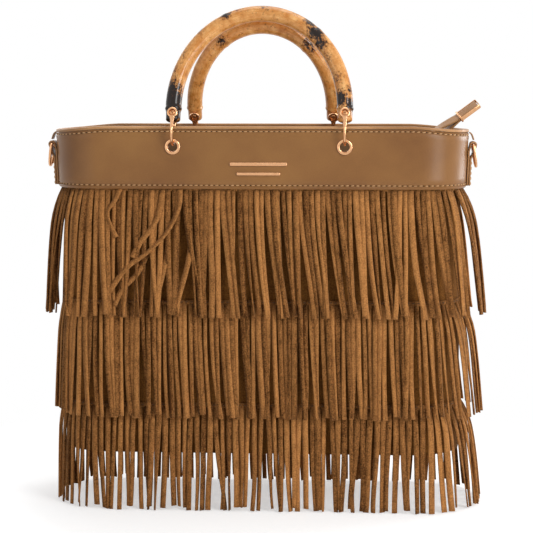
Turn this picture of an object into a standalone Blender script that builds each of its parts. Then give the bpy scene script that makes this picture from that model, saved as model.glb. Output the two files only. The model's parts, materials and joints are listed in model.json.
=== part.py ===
"""Fringed suede handbag with two bamboo handles.

A stiff tote, wider than deep: a smooth leather band round the rim, three tiers of cut suede
fringe round the walls, a recessed top zip, bamboo handles hung on horseshoe shackles, and a
D-ring on a leather tab at each side. Metres, +Z up, the front faces -Y, and the origin lies on
the ground under the middle of the bag.
"""

import math
import random

import bmesh
import bpy
from mathutils import Matrix, Vector

# Heights above the ground
BASE_Z = 0.050
BAND_BOTTOM_Z = 0.283
RIM_Z = 0.338
RIM_DROP = 0.0035
RIM_FLAT_HALF = 0.130

# Plan of the suede wall's outer face at the base, at the band's lower edge and at the rim
BASE_HALF_WIDTH = 0.1780
BASE_HALF_DEPTH = 0.0520
BASE_CORNER = 0.0460
WAIST_HALF_WIDTH = 0.1778
RIM_HALF_WIDTH = 0.1802
RIM_HALF_DEPTH = 0.0410
RIM_CORNER = 0.0385

# Sheet materials and the clearance between touching pieces
GAP = 0.0003
BODY_WALL = 0.0020
BAND_WALL = 0.0020
FACING_WALL = 0.0020
LINING_WALL = 0.0008
BASE_THICKNESS = 0.0030
FRINGE_THICKNESS = 0.0012
FRINGE_GAP = 0.0005
SEAM_GAP = 0.0006
BODY_UNDER_BAND = 0.0165
CUTTER_LENGTH = 0.0200
PIPING_HEIGHT = 0.0026
PIPING_OVERHANG = 0.0001
PIPING_ROUND = 0.0008

CORNER_STEPS = 8
FRONT_STEPS = 4

# Fringe: seam height, hem height, flare of the hem at the front and at the sides
FRINGE_TIERS = {
    "top": (BAND_BOTTOM_Z - 0.001, 0.171, 0.0075, 0.0175),
    "middle": (0.184, 0.082, 0.0060, 0.0100),
    "bottom": (0.093, 0.000, 0.0050, 0.0095),
}
HEADER_HEIGHT = 0.0075
STRIPS_PER_HALF = 46
STRIP_BEND = 0.45
STRIP_BEND_FLARE = 0.40
STRIP_WAIST = 0.80
STRIP_TIP = 0.74
STRIP_SWAY = 0.0011
STRIP_LIFT = 0.0012
HEM_RAGGED = 0.0050
FRINGE_SEED = 7

# Eyelets, shackles and handles
EYELET_Z = 0.320
FRONT_SPREAD = 0.0750
BACK_SPREAD = 0.0635
EYELET_BORE = 0.0042
EYELET_BARREL = 0.0007
EYELET_FLANGE = 0.00695
EYELET_FLANGE_HEIGHT = 0.0013
EYELET_LIP = 0.0006
WASHER_RADIUS = 0.0066
WASHER_HEIGHT = 0.0008
SHACKLE_RADIUS = 0.0110
SHACKLE_WIRE = 0.00125
SHACKLE_BEND = 0.0030
SHACKLE_FLARE = 0.0004
ARM_INTO_EAR = 0.74
EAR_RADIUS = 0.0046
EAR_THICKNESS = 0.0026
EAR_HOLE = 0.0028
EAR_HEIGHT = 0.0152
SCREW_HEAD = 0.0025
SCREW_HEAD_HEIGHT = 0.0018
SCREW_SHANK = 0.0016
HANDLE_RADIUS = 0.0070
HANDLE_STUB = 0.90
HANDLE_KNOT = 1.06
HANDLE_RING = 1.05
HANDLE_END_ROUND = 0.0010
HANDLE_END = 0.0097
HANDLE_SPRING = 0.0217
KNOT_HALF = 0.0013
RING_HALF_ANGLE = 2
FRONT_APEX_Z = 0.4360
BACK_APEX_Z = 0.4257
HANDLE_APEX_GAP = 0.0010
FRONT_KNOTS = (50.0, 113.0)
BACK_KNOTS = (50.0, 124.0)
HANDLE_STEPS = 26

# Side rings and their tabs
RING_OUT = 0.0046
RING_Z = 0.3205
RING_WIRE = 0.0014
RING_HALF = 0.0098
RING_DROP = 0.0192
RING_SHOULDER = 0.0030
RING_TILT = 8.5
TAB_HALF = 0.0075
TAB_LEATHER = 0.0016
TAB_BOTTOM_Z = 0.2845
TAB_JOIN_Z = 0.3085
TIE_LEATHER = 0.0012
TIE_HALF = 0.0050
TIE_BOW = 0.62

# Zip
ZIP_Z = 0.3050
ZIP_PANEL_THICKNESS = 0.0015
ZIP_PANEL_EDGE = 0.0130
ZIP_TAPE_THICKNESS = 0.0008
ZIP_TAPE_HALF = 0.0150
ZIP_TAPE_LENGTH = 0.3510
ZIP_SLOT = 0.0009
TOOTH_PITCH = 0.0080
TOOTH_COUNT = 37
TOOTH_HEIGHT = 0.0020
TOOTH_REACH = 0.0026
TOOTH_RAIL = 0.0010
SLIDER_X = 0.135
SLIDER_LENGTH = 0.0140
SLIDER_HALF = 0.0066
SLIDER_PLATE = 0.0012
SLIDER_POST = 0.0005
SLIDER_EAR = 0.0012
SLIDER_EAR_HALF = 0.0020
SLIDER_UNDER_HALF = 0.0063
PULL_RISE = 0.0035
PULL_BAR = 0.0012
PULL_LEATHER = 0.0015
PULL_HALF = 0.0050
PULL_ANGLE = 36.5
PULL_LENGTH = 0.0715
PULL_TWIST = 28.0
PULL_BELLY = ((0.018, 0.0034), (0.032, 0.0031))
PULL_TWIST_FROM = 0.0100
PULL_TWIST_LENGTH = 0.0355
CLAMP_LENGTH = 0.0200
CLAMP_WALL = 0.0009

# Two plain metal bars on the front of the band
TRIM_BARS = {"upper": (0.0500, 0.0030, 0.3050), "lower": (0.0380, 0.0026, 0.2965)}
TRIM_THICKNESS = 0.0012

FRONT, BACK = -1, 1
FACING_OUT = FRINGE_THICKNESS + FRINGE_GAP
BAND_IN = FRINGE_THICKNESS + 2 * FRINGE_GAP
BAND_OUT = BAND_IN + BAND_WALL
FACING_IN = FACING_OUT - FACING_WALL
LINING_OUT = -(BODY_WALL + GAP)
BAND_TOP_Z = RIM_Z - PIPING_HEIGHT - GAP
BODY_TOP_Z = BAND_BOTTOM_Z + BODY_UNDER_BAND
WALL_MIDDLE = RIM_HALF_DEPTH + (BAND_OUT + FACING_IN) / 2

# The shackle's bow hangs against the upper edge of the eyelet's bore, at the bore's inner end
BORE_INSIDE = (BAND_OUT - FACING_IN) / 2 + 2 * GAP + WASHER_HEIGHT + EYELET_LIP
BOW_RISE = SHACKLE_RADIUS - math.sqrt(SHACKLE_RADIUS**2 - BORE_INSIDE**2)
PIVOT_Z = EYELET_Z + SHACKLE_RADIUS + EYELET_BORE - SHACKLE_WIRE - BOW_RISE - GAP

COLOURS = {
    "suede": ((0.25, 0.11, 0.035), 0.95, 0.0),
    "leather": ((0.27, 0.13, 0.055), 0.50, 0.0),
    "lining": ((0.20, 0.14, 0.09), 0.90, 0.0),
    "zip_tape": ((0.17, 0.09, 0.04), 0.90, 0.0),
    "metal": ((0.80, 0.48, 0.30), 0.22, 1.0),
    "bamboo": ((0.56, 0.25, 0.07), 0.30, 0.0),
}


def clear_scene():
    for thing in list(bpy.data.objects):
        bpy.data.objects.remove(thing)


def collection(name):
    made = bpy.data.collections.new(name)
    bpy.context.scene.collection.children.link(made)
    return made


def material(name):
    colour, roughness, metallic = COLOURS[name]
    made = bpy.data.materials.new(name)
    made.use_nodes = True
    shader = made.node_tree.nodes["Principled BSDF"]
    shader.inputs["Base Color"].default_value = (*colour, 1.0)
    shader.inputs["Roughness"].default_value = roughness
    shader.inputs["Metallic"].default_value = metallic
    return made


clear_scene()
BAG = collection("fringed_suede_bag")
CUTTERS = collection("cutters")
MATERIALS = {name: material(name) for name in COLOURS}


# Helpers for objects and modifiers
def add_object(name, data, finish, into=BAG):
    made = bpy.data.objects.new(name, data)
    into.objects.link(made)
    if finish:
        data.materials.append(MATERIALS[finish])
    return made


def mesh_object(name, bm, finish, into=BAG):
    data = bpy.data.meshes.new(name)
    bm.to_mesh(data)
    bm.free()
    return add_object(name, data, finish, into)


def solidify(thing, thickness, offset):
    wall = thing.modifiers.new("wall", "SOLIDIFY")
    wall.thickness = thickness
    wall.offset = offset
    wall.use_even_offset = True


def bevel(thing, width, segments=1):
    edge = thing.modifiers.new("edge", "BEVEL")
    edge.width = width
    edge.segments = segments
    edge.limit_method = "ANGLE"
    edge.angle_limit = math.radians(50)


def cut(thing, cutter, operation="DIFFERENCE"):
    step = thing.modifiers.new(cutter.name, "BOOLEAN")
    step.operation = operation
    step.object = cutter
    cutter.hide_render = True
    cutter.display_type = "WIRE"


def evaluated_mesh(thing):
    """The object's mesh as its modifiers leave it, with doubled points merged."""
    graph = bpy.context.evaluated_depsgraph_get()
    data = bpy.data.meshes.new_from_object(thing.evaluated_get(graph))
    bm = bmesh.new()
    bm.from_mesh(data)
    bmesh.ops.remove_doubles(bm, verts=bm.verts, dist=1e-6)
    bm.to_mesh(data)
    bm.free()
    return data


def curve_to_mesh(thing):
    """A mesh object in the place of a curve object, with its caps joined to its sides."""
    name, into = thing.name, thing.users_collection[0]
    place = thing.matrix_world.copy()
    data = evaluated_mesh(thing)
    bpy.data.objects.remove(thing)
    made = bpy.data.objects.new(name, data)
    into.objects.link(made)
    made.matrix_world = place
    return made


def united(name, parts, finish):
    """One closed body from overlapping solids."""
    first = parts[0]
    for other in parts[1:]:
        cut(first, other, "UNION")
    bpy.context.view_layer.update()
    data = evaluated_mesh(first)
    made = bpy.data.objects.new(name, data)
    BAG.objects.link(made)
    made.matrix_world = first.matrix_world.copy()
    for part in parts:
        bpy.data.objects.remove(part)
    data.materials.clear()
    data.materials.append(MATERIALS[finish])
    return made


def placed(thing, location=(0, 0, 0), rotation=(0, 0, 0)):
    thing.location = location
    thing.rotation_euler = rotation
    bpy.context.view_layer.update()
    return thing


def box(name, low, high, finish=None, into=CUTTERS):
    bm = bmesh.new()
    size = Vector(high) - Vector(low)
    middle = (Vector(high) + Vector(low)) / 2
    place = Matrix.Translation(middle) @ Matrix.Diagonal((*size, 1))
    bmesh.ops.create_cube(bm, size=1, matrix=place)
    return mesh_object(name, bm, finish, into)


def rod(name, radius, length, sides, finish=None, into=CUTTERS):
    """A cylinder along Y, centred on the origin."""
    bm = bmesh.new()
    turn = Matrix.Rotation(math.pi / 2, 4, "X")
    bmesh.ops.create_cone(
        bm, cap_ends=True, segments=sides, radius1=radius, radius2=radius, depth=length, matrix=turn
    )
    return mesh_object(name, bm, finish, into)


def turned(name, profile, steps, finish, closed=True):
    """A profile of (radius, height) points, outer side downwards, turned about Z."""
    bm = bmesh.new()
    points = [bm.verts.new((radius, 0, height)) for radius, height in profile]
    for start, end in zip(points, points[1:]):
        bm.edges.new((start, end))
    if closed:
        bm.edges.new((points[-1], points[0]))
    made = mesh_object(name, bm, finish)
    spin = made.modifiers.new("turn", "SCREW")
    spin.steps = steps
    spin.render_steps = steps
    spin.use_merge_vertices = True
    spin.merge_threshold = 1e-5
    return made


def wire(name, points, radius, finish=None, into=BAG, cyclic=False, scales=None, resolution=1):
    data = bpy.data.curves.new(name, "CURVE")
    data.dimensions = "3D"
    data.bevel_depth = radius
    data.bevel_resolution = resolution
    data.use_fill_caps = not cyclic
    path = data.splines.new("POLY")
    path.points.add(len(points) - 1)
    for index, point in enumerate(points):
        path.points[index].co = (*point, 1)
        path.points[index].radius = scales[index] if scales else 1.0
    path.use_cyclic_u = cyclic
    return add_object(name, data, finish, into)


def ribbon(name, path, half_width, thickness, finish, twist=None):
    """A strap that follows a path of (x, z) points and is half_width wide each way along Y."""
    bm = bmesh.new()
    rows = []
    for x, z in path:
        ends = [Vector((x, -half_width, z)), Vector((x, half_width, z))]
        if twist:
            turn = Matrix.Rotation(twist(x), 3, "X")
            ends = [turn @ end for end in ends]
        rows.append(ends)
    edge = bm.edges.new([bm.verts.new(point) for point in rows[0]])
    for ends in rows[1:]:
        pair = list(edge.verts)
        grown = bmesh.ops.extrude_edge_only(bm, edges=[edge])["geom"]
        edge = next(item for item in grown if isinstance(item, bmesh.types.BMEdge))
        for vert in edge.verts:
            near_low = (vert.co - pair[0].co).length < (vert.co - pair[1].co).length
            vert.co = ends[0] if near_low == (pair[0].co.y < pair[1].co.y) else ends[1]
    made = mesh_object(name, bm, finish)
    solidify(made, thickness, 0)
    return made


def smooth_path(points, steps):
    """Points along a smooth curve through the given ones, with even parameter steps."""
    padded = [points[0], *points, points[-1]]
    path = []
    for index in range(1, len(padded) - 2):
        before, start, end, after = (Vector(padded[index + shift]) for shift in (-1, 0, 1, 2))
        for step in range(steps):
            t = step / steps
            path.append(
                0.5
                * (
                    2 * start
                    + (end - before) * t
                    + (2 * before - 5 * start + 4 * end - after) * t * t
                    + (3 * start - before - 3 * end + after) * t * t * t
                )
            )
    path.append(Vector(points[-1]))
    return path


def arc(centre, radius, start, end, steps):
    """Points on a circle from the start angle to the end angle, in degrees."""
    angles = [math.radians(start + (end - start) * step / steps) for step in range(steps + 1)]
    return [(centre[0] + radius * math.cos(a), centre[1] + radius * math.sin(a)) for a in angles]


# The bag's plan
def plan_at(z):
    """Half width, half depth and corner radius of the suede face at a height."""
    base = (BASE_HALF_WIDTH, BASE_HALF_DEPTH, BASE_CORNER)
    waist = (WAIST_HALF_WIDTH, RIM_HALF_DEPTH, RIM_CORNER)
    rim = (RIM_HALF_WIDTH, RIM_HALF_DEPTH, RIM_CORNER)
    if z < BAND_BOTTOM_Z:
        share = (z - BASE_Z) / (BAND_BOTTOM_Z - BASE_Z)
        low, high = base, waist
    else:
        share = (z - BAND_BOTTOM_Z) / (RIM_Z - BAND_BOTTOM_Z)
        low, high = waist, rim
    return [a + (b - a) * share for a, b in zip(low, high)]


def on_plan(z, offset, station, side):
    """Point and outward normal on the half outline. Stations run 0 to 5 from the right seam:
    side, corner, front, corner, side."""
    half_width, half_depth, corner = plan_at(z)
    centre_x, centre_y = half_width - corner, half_depth - corner
    part = min(int(station), 4)
    share = station - part
    seam = SEAM_GAP / 2
    if part in (1, 3):
        angle = -math.pi / 2 * (share if part == 1 else 1 + share)
        normal = Vector((math.cos(angle), math.sin(angle)))
        middle = Vector((centre_x if part == 1 else -centre_x, -centre_y))
        point = middle + normal * (corner + offset)
    elif part == 2:
        normal = Vector((0, -1))
        point = Vector((centre_x * (1 - 2 * share), -(half_depth + offset)))
    else:
        sign = 1 if part == 0 else -1
        along = share if part == 0 else 1 - share
        normal = Vector((sign, 0))
        point = Vector((sign * (half_width + offset), -(seam + along * (centre_y - seam))))
    return Vector((point.x, -side * point.y, z)), Vector((normal.x, -side * normal.y, 0))


def wall_stations():
    corners = [step / CORNER_STEPS for step in range(CORNER_STEPS)]
    fronts = [step / FRONT_STEPS for step in range(FRONT_STEPS)]
    return [0, *(1 + c for c in corners), *(2 + f for f in fronts), *(3 + c for c in corners), 4, 5]


def fringe_stations(z, places):
    """Stations at even steps of arc length along the half outline, one for each place counted
    in strips from the right seam."""
    half_width, half_depth, corner = plan_at(z)
    straight = half_depth - corner - SEAM_GAP / 2
    lengths = [straight, corner * math.pi / 2, 2 * (half_width - corner), corner * math.pi / 2, straight]
    total = sum(lengths)
    stations = []
    for place in places:
        left = total * place / STRIPS_PER_HALF
        part = 0
        while part < 4 and left > lengths[part]:
            left -= lengths[part]
            part += 1
        stations.append(part + min(left / lengths[part], 1.0))
    return stations


def rim_drop(x):
    """How far the rim dips below its middle at a place along the width."""
    share = (abs(x) - RIM_FLAT_HALF) / (RIM_HALF_WIDTH + BAND_OUT - RIM_FLAT_HALF)
    share = min(max(share, 0.0), 1.0)
    return RIM_DROP * share * share * (3 - 2 * share)


def rows_of_points(levels, stations, side):
    """Rows of points, one for each level of (height, offset, follows the rim)."""
    rows = []
    for z, offset, follows in levels:
        row = [on_plan(z, offset, station, side)[0] for station in stations]
        for point in row:
            point.z -= rim_drop(point.x) if follows else 0
        rows.append(row)
    return rows


def sheet_from_rows(rows, closed):
    """An open surface whose first row is drawn and then pulled through the others."""
    bm = bmesh.new()
    verts = [bm.verts.new(point) for point in rows[0]]
    pairs = list(zip(verts, verts[1:] + verts[:1] if closed else verts[1:]))
    edges = [bm.edges.new(pair) for pair in pairs]
    for row in rows[1:]:
        grown = bmesh.ops.extrude_edge_only(bm, edges=edges)["geom"]
        edges = [item for item in grown if isinstance(item, bmesh.types.BMEdge)]
        fresh = [item for item in grown if isinstance(item, bmesh.types.BMVert)]
        for vert, point in zip(fresh, row):
            vert.co = point
    return bm


def half_wall(name, levels, thickness, finish, side):
    """Half a wall, from one side seam round to the other, thickened inwards."""
    bm = sheet_from_rows(rows_of_points(levels, wall_stations(), side), False)
    bmesh.ops.recalc_face_normals(bm, faces=bm.faces)
    middle = min(bm.faces, key=lambda face: abs(face.calc_center_median().x))
    if middle.normal.y * side < 0:
        bmesh.ops.reverse_faces(bm, faces=bm.faces)
    made = mesh_object(name, bm, finish)
    solidify(made, thickness, -1)
    return made


def full_outline(z, offset, follows=False):
    """The whole outline, front half then back half, with no seam gap."""
    front = rows_of_points([(z, offset, follows)], wall_stations(), FRONT)[0][1:-1]
    back = rows_of_points([(z, offset, follows)], wall_stations(), BACK)[0][1:-1]
    return front + back[::-1]


# Walls, band, lining and base
def make_walls():
    for side, word in ((FRONT, "front"), (BACK, "back")):
        body = [(BASE_Z, 0, False), (BAND_BOTTOM_Z, 0, False), (BODY_TOP_Z, 0, False)]
        half_wall(f"body_{word}", body, BODY_WALL, "suede", side)
        band = [(BAND_BOTTOM_Z, BAND_OUT, False), (BAND_TOP_Z, BAND_OUT, True)]
        facing = [(BODY_TOP_Z + GAP, FACING_OUT, False), (BAND_TOP_Z, FACING_OUT, True)]
        pieces = [
            half_wall(f"band_{word}", band, BAND_WALL, "leather", side),
            half_wall(f"facing_{word}", facing, FACING_WALL, "leather", side),
        ]
        spread = FRONT_SPREAD if side == FRONT else BACK_SPREAD
        for hand, x in (("left", -spread), ("right", spread)):
            radius = EYELET_BORE + EYELET_BARREL + GAP
            hole = rod(f"eyelet_hole_{word}_{hand}", radius, CUTTER_LENGTH, 16)
            placed(hole, (x, side * WALL_MIDDLE, EYELET_Z))
            for piece in pieces:
                cut(piece, hole)


def make_piping():
    z = RIM_Z - PIPING_HEIGHT
    rows = [
        full_outline(z, FACING_IN - PIPING_OVERHANG, True),
        full_outline(z, BAND_OUT + PIPING_OVERHANG, True),
    ]
    bm = sheet_from_rows(rows, True)
    bmesh.ops.recalc_face_normals(bm, faces=bm.faces)
    bm.faces.ensure_lookup_table()
    if bm.faces[0].normal.z < 0:
        bmesh.ops.reverse_faces(bm, faces=bm.faces)
    piping = mesh_object("rim_piping", bm, "leather")
    solidify(piping, PIPING_HEIGHT, 1)
    bevel(piping, PIPING_ROUND)


def flat_plate(name, outline, thickness, finish):
    """A plate that rises by its thickness from a flat outline."""
    bm = bmesh.new()
    face = bm.faces.new([bm.verts.new(point) for point in outline])
    face.normal_update()
    if face.normal.z > 0:
        bmesh.ops.reverse_faces(bm, faces=[face])
    plate = mesh_object(name, bm, finish)
    solidify(plate, thickness, -1)
    return plate


def make_base_and_lining():
    top_z = BASE_Z + BASE_THICKNESS
    outline = [Vector((p.x, p.y, BASE_Z)) for p in full_outline(top_z, LINING_OUT)]
    flat_plate("base_panel", outline, BASE_THICKNESS, "leather")
    floor_z = top_z + GAP
    rows = [full_outline(z, LINING_OUT) for z in (BODY_TOP_Z, BAND_BOTTOM_Z, floor_z)]
    bm = sheet_from_rows(rows, True)
    bm.verts.ensure_lookup_table()
    floor = [vert for vert in bm.verts if vert.co.z < floor_z + GAP / 2]
    edges = [e for e in bm.edges if e.verts[0] in floor and e.verts[1] in floor]
    bmesh.ops.contextual_create(bm, geom=edges)
    bmesh.ops.recalc_face_normals(bm, faces=bm.faces)
    floor_face = min(bm.faces, key=lambda face: face.calc_center_median().z)
    if floor_face.normal.z > 0:
        bmesh.ops.reverse_faces(bm, faces=bm.faces)
    lining = mesh_object("lining", bm, "lining")
    solidify(lining, LINING_WALL, -1)


# Fringe
def strip_shape(dice, index):
    """One strip's own sway along the wall, lift off it and shortfall at the hem. Counted from
    the nearer side seam, each fifth strip is full, so both ends of the bag reach equally far."""
    if min(index, STRIPS_PER_HALF - 1 - index) % 5 == 0:
        return 0.0, STRIP_LIFT, 0.0
    short = HEM_RAGGED * dice.random() ** 2
    return dice.uniform(-1, 1) * STRIP_SWAY, dice.uniform(-0.6, 1) * STRIP_LIFT, short


def fringe_half(tier, word, side, dice):
    """A header strip with a comb of cut strips hanging from its lower edge."""
    seam_z, hem_z, flare_front, flare_side = FRINGE_TIERS[tier]
    stations = fringe_stations(seam_z, range(STRIPS_PER_HALF + 1))
    middles = fringe_stations(seam_z, [index + 0.5 for index in range(STRIPS_PER_HALF)])
    rows = rows_of_points(
        [(seam_z + HEADER_HEIGHT, FRINGE_GAP, False), (seam_z, FRINGE_GAP, False)], stations, side
    )
    bm = sheet_from_rows(rows, False)
    bend_z = seam_z + (hem_z - seam_z) * STRIP_BEND
    roots = [e for e in bm.edges if all(abs(v.co.z - seam_z) < 1e-6 for v in e.verts)]
    roots.sort(key=lambda e: nearest_strip(e, middles, seam_z, side))
    for index, (root, middle) in enumerate(zip(roots, middles)):
        sway, lift, short = strip_shape(dice, index)
        edge = root
        for z, share, width in ((bend_z, STRIP_BEND_FLARE, STRIP_WAIST), (hem_z + short, 1, STRIP_TIP)):
            _, normal = on_plan(seam_z, FRINGE_GAP, middle, side)
            flare = flare_front + (flare_side - flare_front) * abs(normal.x)
            along = Vector((-normal.y, normal.x, 0))
            foot, _ = on_plan(max(z, BASE_Z), FRINGE_GAP, middle, side)
            centre = foot + normal * (flare * share + lift * share) + along * sway * share
            centre.z = z
            half = (root.verts[0].co - root.verts[1].co).length / 2 * width
            grown = bmesh.ops.extrude_edge_only(bm, edges=[edge])["geom"]
            edge = next(item for item in grown if isinstance(item, bmesh.types.BMEdge))
            ends = sorted(edge.verts, key=lambda v: v.co.dot(along))
            ends[0].co = centre - along * half
            ends[1].co = centre + along * half
    bmesh.ops.recalc_face_normals(bm, faces=bm.faces)
    headers = min(bm.faces, key=lambda f: abs(f.calc_center_median().x) - f.calc_center_median().z)
    if headers.normal.y * side < 0:
        bmesh.ops.reverse_faces(bm, faces=bm.faces)
    comb = mesh_object(f"fringe_{tier}_{word}", bm, "suede")
    solidify(comb, FRINGE_THICKNESS, 1)


def nearest_strip(edge, middles, z, side):
    """The number of the strip whose root lies closest to an edge."""
    root = (edge.verts[0].co + edge.verts[1].co) / 2
    gaps = [(on_plan(z, FRINGE_GAP, middle, side)[0] - root).length for middle in middles]
    return gaps.index(min(gaps))


def make_fringe():
    dice = random.Random(FRINGE_SEED)
    for tier in FRINGE_TIERS:
        for side, word in ((FRONT, "front"), (BACK, "back")):
            fringe_half(tier, word, side, dice)


# Eyelets
def make_eyelets():
    barrel = EYELET_BORE + EYELET_BARREL
    outside = (BAND_OUT - FACING_IN) / 2 + GAP
    inside = -outside - WASHER_HEIGHT - GAP
    top = outside + EYELET_FLANGE_HEIGHT
    eyelet = [
        (EYELET_BORE, outside + EYELET_FLANGE_HEIGHT / 3),
        (EYELET_BORE + EYELET_FLANGE_HEIGHT / 2, top),
        (EYELET_FLANGE - EYELET_FLANGE_HEIGHT / 2, top),
        (EYELET_FLANGE, outside),
        (barrel, outside),
        (barrel, inside),
        (WASHER_RADIUS - EYELET_LIP, inside),
        (EYELET_BORE, inside - EYELET_LIP),
    ]
    washer = [
        (barrel + GAP, -outside),
        (WASHER_RADIUS, -outside),
        (WASHER_RADIUS, -outside - WASHER_HEIGHT),
        (barrel + GAP, -outside - WASHER_HEIGHT),
    ]
    for side, word, spread in ((FRONT, "front", FRONT_SPREAD), (BACK, "back", BACK_SPREAD)):
        for hand, x in (("left", -spread), ("right", spread)):
            place = (x, side * WALL_MIDDLE, EYELET_Z)
            turn = (-side * math.pi / 2, 0, 0)
            placed(turned(f"eyelet_{word}_{hand}", eyelet, 16, "metal"), place, turn)
            placed(turned(f"eyelet_washer_{word}_{hand}", washer, 12, "metal"), place, turn)


# Handles. Each is drawn upright in its own frame, with the shackles' pivot at the origin.
def handle_path(half_span, reach, knots):
    """Points of a bent cane and the swelling at each: a stub, half an ellipse and a stub."""
    rise = reach - HANDLE_SPRING
    knot_z = HANDLE_SPRING - KNOT_HALF / 2
    leg = [
        (HANDLE_END, HANDLE_STUB * 0.94),
        (HANDLE_END + HANDLE_END_ROUND, HANDLE_STUB),
        (knot_z - KNOT_HALF, HANDLE_STUB),
        (knot_z, HANDLE_KNOT),
        (knot_z + KNOT_HALF, 1.0),
    ]
    points = [(half_span, z) for z, _ in leg]
    scales = [scale for _, scale in leg]
    step = 180 / HANDLE_STEPS
    angles = [step * index for index in range(1, HANDLE_STEPS)]
    ring = ((-RING_HALF_ANGLE, 1.0), (0, HANDLE_RING), (RING_HALF_ANGLE, 1.0))
    bands = [(knot + shift, scale) for knot in knots for shift, scale in ring]
    angles = [(a, 1.0) for a in angles if all(abs(a - knot) > step * 0.6 for knot in knots)] + bands
    for angle, scale in sorted(angles):
        turn = math.radians(angle)
        points.append((half_span * math.cos(turn), HANDLE_SPRING + rise * math.sin(turn)))
        scales.append(scale)
    points += [(-half_span, z) for z, _ in reversed(leg)]
    scales += [scale for _, scale in reversed(leg)]
    return [(x, 0, z) for x, z in points], scales


def shackle(name, place, turn):
    """A horseshoe of wire with an eye at each end, its screw holes cut through."""
    ear_offset = HANDLE_RADIUS * HANDLE_STUB + 2 * GAP + EAR_THICKNESS / 2
    top_z = EAR_HEIGHT - EAR_RADIUS * ARM_INTO_EAR
    arms = [
        (ear_offset, top_z),
        (ear_offset + SHACKLE_FLARE, top_z - SHACKLE_BEND),
        (SHACKLE_RADIUS, SHACKLE_BEND),
    ]
    belly = arc((0, 0), SHACKLE_RADIUS, 0, -180, 10)
    path = arms + belly + [(-y, z) for y, z in reversed(arms)]
    tube = curve_to_mesh(wire(f"{name}_wire", [(0, y, z) for y, z in path], SHACKLE_WIRE))
    ears = []
    for sign in (-1, 1):
        ear = rod(f"{name}_ear", EAR_RADIUS, EAR_THICKNESS, 16, into=BAG)
        ears.append(placed(ear, (0, sign * ear_offset, EAR_HEIGHT)))
    made = united(name, [tube, *ears], "metal")
    hole = placed(rod(f"{name}_hole", EAR_HOLE, 4 * SHACKLE_RADIUS, 12), (0, 0, EAR_HEIGHT))
    cut(made, hole)
    bpy.context.view_layer.update()
    data = evaluated_mesh(made)
    bpy.data.objects.remove(made)
    bpy.data.objects.remove(hole)
    made = bpy.data.objects.new(name, data)
    BAG.objects.link(made)
    return placed(made, place, turn)


def screw(name, place, turn):
    """A cross screw with a head in each ear."""
    ear_out = HANDLE_RADIUS * HANDLE_STUB + 2 * GAP + EAR_THICKNESS
    tip = ear_out - GAP
    under = tip - SCREW_HEAD_HEIGHT
    profile = [
        (0, tip),
        (SCREW_HEAD, tip),
        (SCREW_HEAD, under),
        (SCREW_SHANK, under),
        (SCREW_SHANK, -under),
        (SCREW_HEAD, -under),
        (SCREW_HEAD, -tip),
        (0, -tip),
    ]
    made = turned(name, profile, 8, "metal", closed=False)
    lie = Matrix.Rotation(math.pi / 2, 4, "X")
    made.matrix_world = place @ turn @ Matrix.Translation((0, 0, EAR_HEIGHT)) @ lie
    return made


def handle(word, side, half_span, apex_z, knots):
    """A cane that leans inwards until its apex all but meets the other one."""
    inwards = WALL_MIDDLE - HANDLE_RADIUS - HANDLE_APEX_GAP / 2
    reach = math.hypot(apex_z - PIVOT_Z, inwards)
    lean = math.asin(inwards / reach)
    turn = (side * lean, 0, 0)
    points, scales = handle_path(half_span, reach, knots)
    cane = wire(f"{word}_handle", points, HANDLE_RADIUS, scales=scales, resolution=2)
    cane = placed(curve_to_mesh(cane), (0, side * WALL_MIDDLE, PIVOT_Z), turn)
    cane.data.materials.clear()
    cane.data.materials.append(MATERIALS["bamboo"])
    place = Matrix.Translation((0, side * WALL_MIDDLE, PIVOT_Z))
    tilt = Matrix.Rotation(turn[0], 4, "X")
    for hand, x in (("left", -half_span), ("right", half_span)):
        shackle(f"shackle_{word}_{hand}", (x, side * WALL_MIDDLE, PIVOT_Z), turn)
        shift = place @ Matrix.Translation((x, 0, 0))
        screw(f"shackle_screw_{word}_{hand}", shift, tilt)
        hole = rod(f"screw_hole_{word}_{hand}", SCREW_SHANK + GAP, 4 * HANDLE_RADIUS, 12)
        hole.matrix_world = shift @ tilt @ Matrix.Translation((0, 0, EAR_HEIGHT))
        cut(cane, hole)
    return lean


# Side rings
def side_face(z):
    """Half width of the band's outer face at a height."""
    return plan_at(z)[0] + BAND_OUT


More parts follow.
